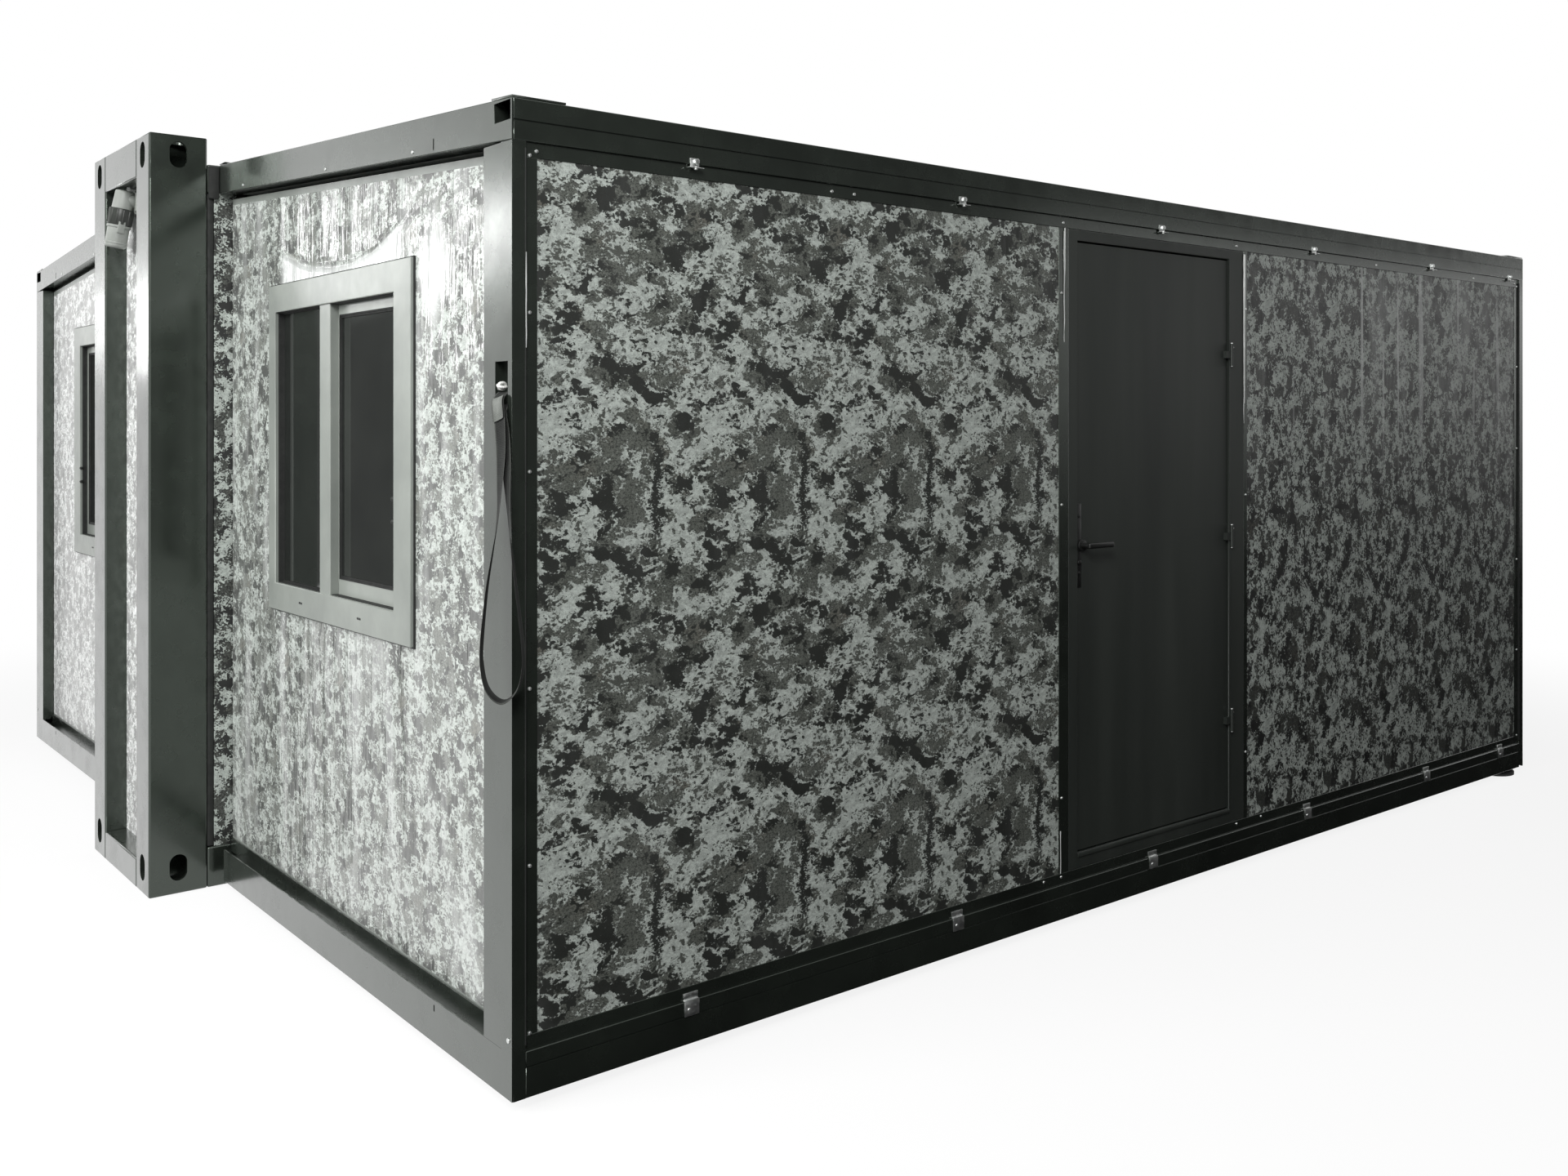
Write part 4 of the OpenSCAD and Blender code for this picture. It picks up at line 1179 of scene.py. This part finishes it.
class OFFICE_OT_power_inlet(bpy.types.Operator):
    """Angled power inlet with a ribbed collar and a capped mouth"""
    bl_idname = "office.power_inlet"
    bl_label = "Power inlet"

    def execute(self, context):
        lean = Matrix.Rotation(math.radians(8), 4, "Y") @ Matrix.Rotation(math.radians(7), 4, "X")
        tilt = Matrix.Translation((-2.688, 0.060, 2.362)) @ lean
        pale = finish("inlet_grey", moulded_plastic, "#7f837e", "#979a96")
        dark = finish("inlet_dark", moulded_plastic, "#20221f", "#242923")
        bm = bmesh.new()
        # Neck, cap and the cap's two rims: Z of both ends, both radii, rounding and its steps
        for z0, z1, r0, r1, bevel, segments in (
            (-0.068, 0.000, 0.0345, 0.0310, 0.006, 3),
            (-0.202, -0.118, 0.0355, 0.0355, 0.010, 4),
            (-0.132, -0.122, 0.0395, 0.0395, 0.003, 2),
            (-0.188, -0.181, 0.0370, 0.0370, 0.002, 2),
        ):
            rod(bm, (0, 0, z0), (0, 0, z1), r0, 32, r1, bevel, segments)
        block(bm, (-0.012, -0.040, -0.150), (0.012, -0.030, -0.108), 0.003)
        bmesh.ops.transform(bm, matrix=tilt, verts=bm.verts)
        block(bm, (-2.6625, 0.017, 2.280), (-2.6485, 0.103, 2.364), 0.004)
        rod(bm, (-2.690, 0.060, 2.335), (-2.650, 0.060, 2.325), 0.028, 24, bevel=0.003)
        piece("power_inlet_body", bm, "building", pale, ("power_inlet",))

        bm = bmesh.new()
        rod(bm, (0, 0, -0.122), (0, 0, -0.064), 0.0405, 32, bevel=0.004)
        for i in range(12):
            turn = math.tau * i / 12
            x, y = 0.0385 * math.cos(turn), 0.0385 * math.sin(turn)
            rod(bm, (x, y, -0.117), (x, y, -0.069), 0.004, 8, bevel=0.001)
        block(bm, (-0.010, 0.036, -0.112), (0.010, 0.050, -0.066), 0.003)
        bmesh.ops.transform(bm, matrix=tilt, verts=bm.verts)
        for y in (0.025, 0.095):
            for z in (2.288, 2.356):
                rod(bm, (-2.662, y, z), (-2.6645, y, z), 0.004, 10, bevel=0.0008)
        piece("power_inlet_collar", bm, "building", dark)
        return {"FINISHED"}


class OFFICE_OT_feet(bpy.types.Operator):
    """Levelling feet with their lock nuts and washers"""
    bl_idname = "office.feet"
    bl_label = "Feet"

    def execute(self, context):
        repaint(finish("black_rubber", rubber), "wing_feet")
        bm = bmesh.new()
        for sx, sy in QUARTERS.values():
            x, y = (-2.37, sy * 2.27) if sx < 0 else (2.41, sy * 2.31)
            rod(bm, (x, y, 0.078), (x, y, 0.094), 0.030, 6, bevel=0.0015)
            rod(bm, (x, y, 0.074), (x, y, 0.078), 0.036, 24, bevel=0.001)
            for z in (0.040, 0.048, 0.056, 0.064):
                rod(bm, (x, y, z), (x, y, z + 0.004), 0.0195, 20, bevel=0.001)
        piece("foot_nuts", bm, "building", finish("zinc", zinc_plate))
        return {"FINISHED"}


UPRIGHT = (math.pi / 2, 0, 0)
# Cards that show only in reflections: name, place, size, turn, and the light at 0.6 m and
# at 3.6 m up. They are dark, except the one opposite the door, which grows from near black
# at its foot to brighter than white at its top.
CARDS = (
    ("flag_front", (2.3, -8.0, 1.7), (6.6, 3.4), UPRIGHT, 0.06, 0.16),
    ("flag_door", (11.3, -8.0, 1.7), (11.4, 3.4), UPRIGHT, 0.03, 1.15),
    ("flag_high", (8.0, -8.0, 5.2), (18.0, 3.6), UPRIGHT, 0.08, 0.08),
    ("flag_mat", (7.0, -5.2, 0.004), (19.0, 5.6), (0, 0, 0), 0.01, 0.01),
    ("flag_glass", (-6.0, 7.9, 1.3), (3.4, 2.8), (math.pi / 2, 0, math.pi / 2), 0.12, 0.12),
)


def directly_seen(tree):
    """1 where the camera sees the studio, straight, in a reflection or through glass"""
    path = add(tree, "LightPath").node.outputs
    seen = add(tree, "Math", (path["Is Camera Ray"], path["Is Glossy Ray"]), operation="MAXIMUM")
    return add(tree, "Math", (seen, path["Is Transmission Ray"]), operation="MAXIMUM")


class OFFICE_OT_studio(bpy.types.Operator):
    """Pale floor, soft lights, cards for the reflections, and an even white surround"""
    bl_idname = "office.studio"
    bl_label = "Studio"

    def execute(self, context):
        scene, studio = context.scene, setting("office_studio")
        paper = bpy.data.materials.new("studio_paper")
        tree = emptied(paper)
        seen = directly_seen(tree)
        # White far off, and paper that takes the soft shadow close by
        far = add(tree, "VectorMath", (add(tree, "TexCoord", out="Object"),), out="Value", operation="LENGTH")
        far = add(tree, "MapRange", (far, 3.4, 6.5, 0.86, 1.0), **SOFT)
        share = add(tree, "Math", (seen, far), operation="MULTIPLY")
        shade = add(tree, "Mix", {0: seen, 6: "#585858", 7: "#f4f4f4"}, **BLEND)
        lit = add(tree, "BsdfDiffuse", {"Color": shade})
        glow = add(tree, "Emission", {"Color": "#ffffff"})
        add(tree, "OutputMaterial", {"Surface": add(tree, "MixShader", (share, lit, glow))})
        bm = bmesh.new()
        below = Matrix.Translation((0, 0, -0.0005))
        bmesh.ops.create_grid(bm, x_segments=4, y_segments=4, size=40, matrix=below)
        floor = placed("studio_floor", bm, paper)

        for name, place, size, turn, low, high in CARDS:
            card = bpy.data.materials.new(name)
            tree = emptied(card)
            height = add(tree, "SeparateXYZ", (add(tree, "TexCoord", out="Object"),)).node.outputs["Z"]
            level = add(tree, "MapRange", (height, 0.6, 3.6, low, high))
            lit = add(tree, "Emission", {"Color": "#ffffff", "Strength": level})
            add(tree, "OutputMaterial", {"Surface": lit})
            bm = bmesh.new()
            bmesh.ops.create_grid(bm, x_segments=1, y_segments=1, size=0.5)
            where = Matrix.LocRotScale(Vector(place), Euler(turn), Vector((*size, 1)))
            bmesh.ops.transform(bm, matrix=where, verts=bm.verts)
            flag = placed(name, bm, card)
            for ray in ("camera", "diffuse", "shadow", "transmission"):
                setattr(flag, f"visible_{ray}", False)

        # Area lamps: name, place, aim, width, height, roll in degrees, power, seen in gloss
        for name, place, aim, width, height, roll, power, glossy in (
            ("key", (-9.0, -1.2, 4.6), (-2.4, -0.6, 1.2), 4.5, None, 0, studio.key_power, False),
            ("front_fill", (-4.9, -5.4, 4.3), (-1.9, -2.4, 1.9), 2.0, None, 0, studio.fill_power, True),
            ("window_glow", (-7.15, 9.0, 3.2), (-7.15, 0.0, 3.2), 4.5, 0.75, 23, studio.glow_power, True),
        ):
            lamp = bpy.data.lights.new(name, "AREA")
            lamp.energy = power
            lamp.size = width
            if height:
                lamp.shape = "RECTANGLE"
                lamp.size_y = height
            light = bpy.data.objects.new(name, lamp)
            scene.collection.objects.link(light)
            light.location = place
            light.rotation_euler = (Vector(aim) - Vector(place)).to_track_quat("-Z", "Y").to_euler()
            light.rotation_euler.rotate_axis("Z", math.radians(roll))
            light.visible_camera = False
            light.visible_glossy = glossy

        world = bpy.data.worlds.new("studio")
        scene.world = world
        tree = emptied(world)
        level = add(tree, "MapRange", {0: directly_seen(tree), 3: studio.fill_level, 4: 1.0})
        surround = add(tree, "Background", {"Color": "#ffffff", "Strength": level})
        add(tree, "OutputWorld", {"Surface": surround})
        scene.view_settings.view_transform = "Standard"
        return {"FINISHED"}


class OFFICE_PT_panel(bpy.types.Panel):
    """Finishes, sizes and studio of the folding office"""
    bl_label = "Folding office"
    bl_idname = "OFFICE_PT_panel"
    bl_space_type = "VIEW_3D"
    bl_region_type = "UI"
    bl_category = "Office"

    def draw(self, context):
        for operator in OPERATORS:
            self.layout.operator(operator.bl_idname)
        for group in GROUPS:
            box = self.layout.box()
            for name in GROUPS[group].__annotations__:
                box.prop(getattr(context.scene, group), name)


OPERATORS = (
    OFFICE_OT_camera, OFFICE_OT_pull_strap, OFFICE_OT_steelwork, OFFICE_OT_walls,
    OFFICE_OT_windows, OFFICE_OT_door, OFFICE_OT_fixings, OFFICE_OT_seals, OFFICE_OT_roof,
    OFFICE_OT_floors, OFFICE_OT_power_inlet, OFFICE_OT_feet, OFFICE_OT_studio,
)
GROUPS = {
    "office_finishes": OFFICE_PG_finishes,
    "office_sizes": OFFICE_PG_sizes,
    "office_studio": OFFICE_PG_studio,
}


def register():
    for group, kind in GROUPS.items():
        bpy.utils.register_class(kind)
        setattr(bpy.types.Scene, group, bpy.props.PointerProperty(type=kind))
    for kind in (*OPERATORS, OFFICE_PT_panel):
        bpy.utils.register_class(kind)


def unregister():
    for kind in (OFFICE_PT_panel, *reversed(OPERATORS)):
        bpy.utils.unregister_class(kind)
    for group, kind in GROUPS.items():
        delattr(bpy.types.Scene, group)
        bpy.utils.unregister_class(kind)


def main():
    register()
    for operator in OPERATORS:
        space, name = operator.bl_idname.split(".")
        getattr(getattr(bpy.ops, space), name)()


if __name__ == "__main__":
    main()
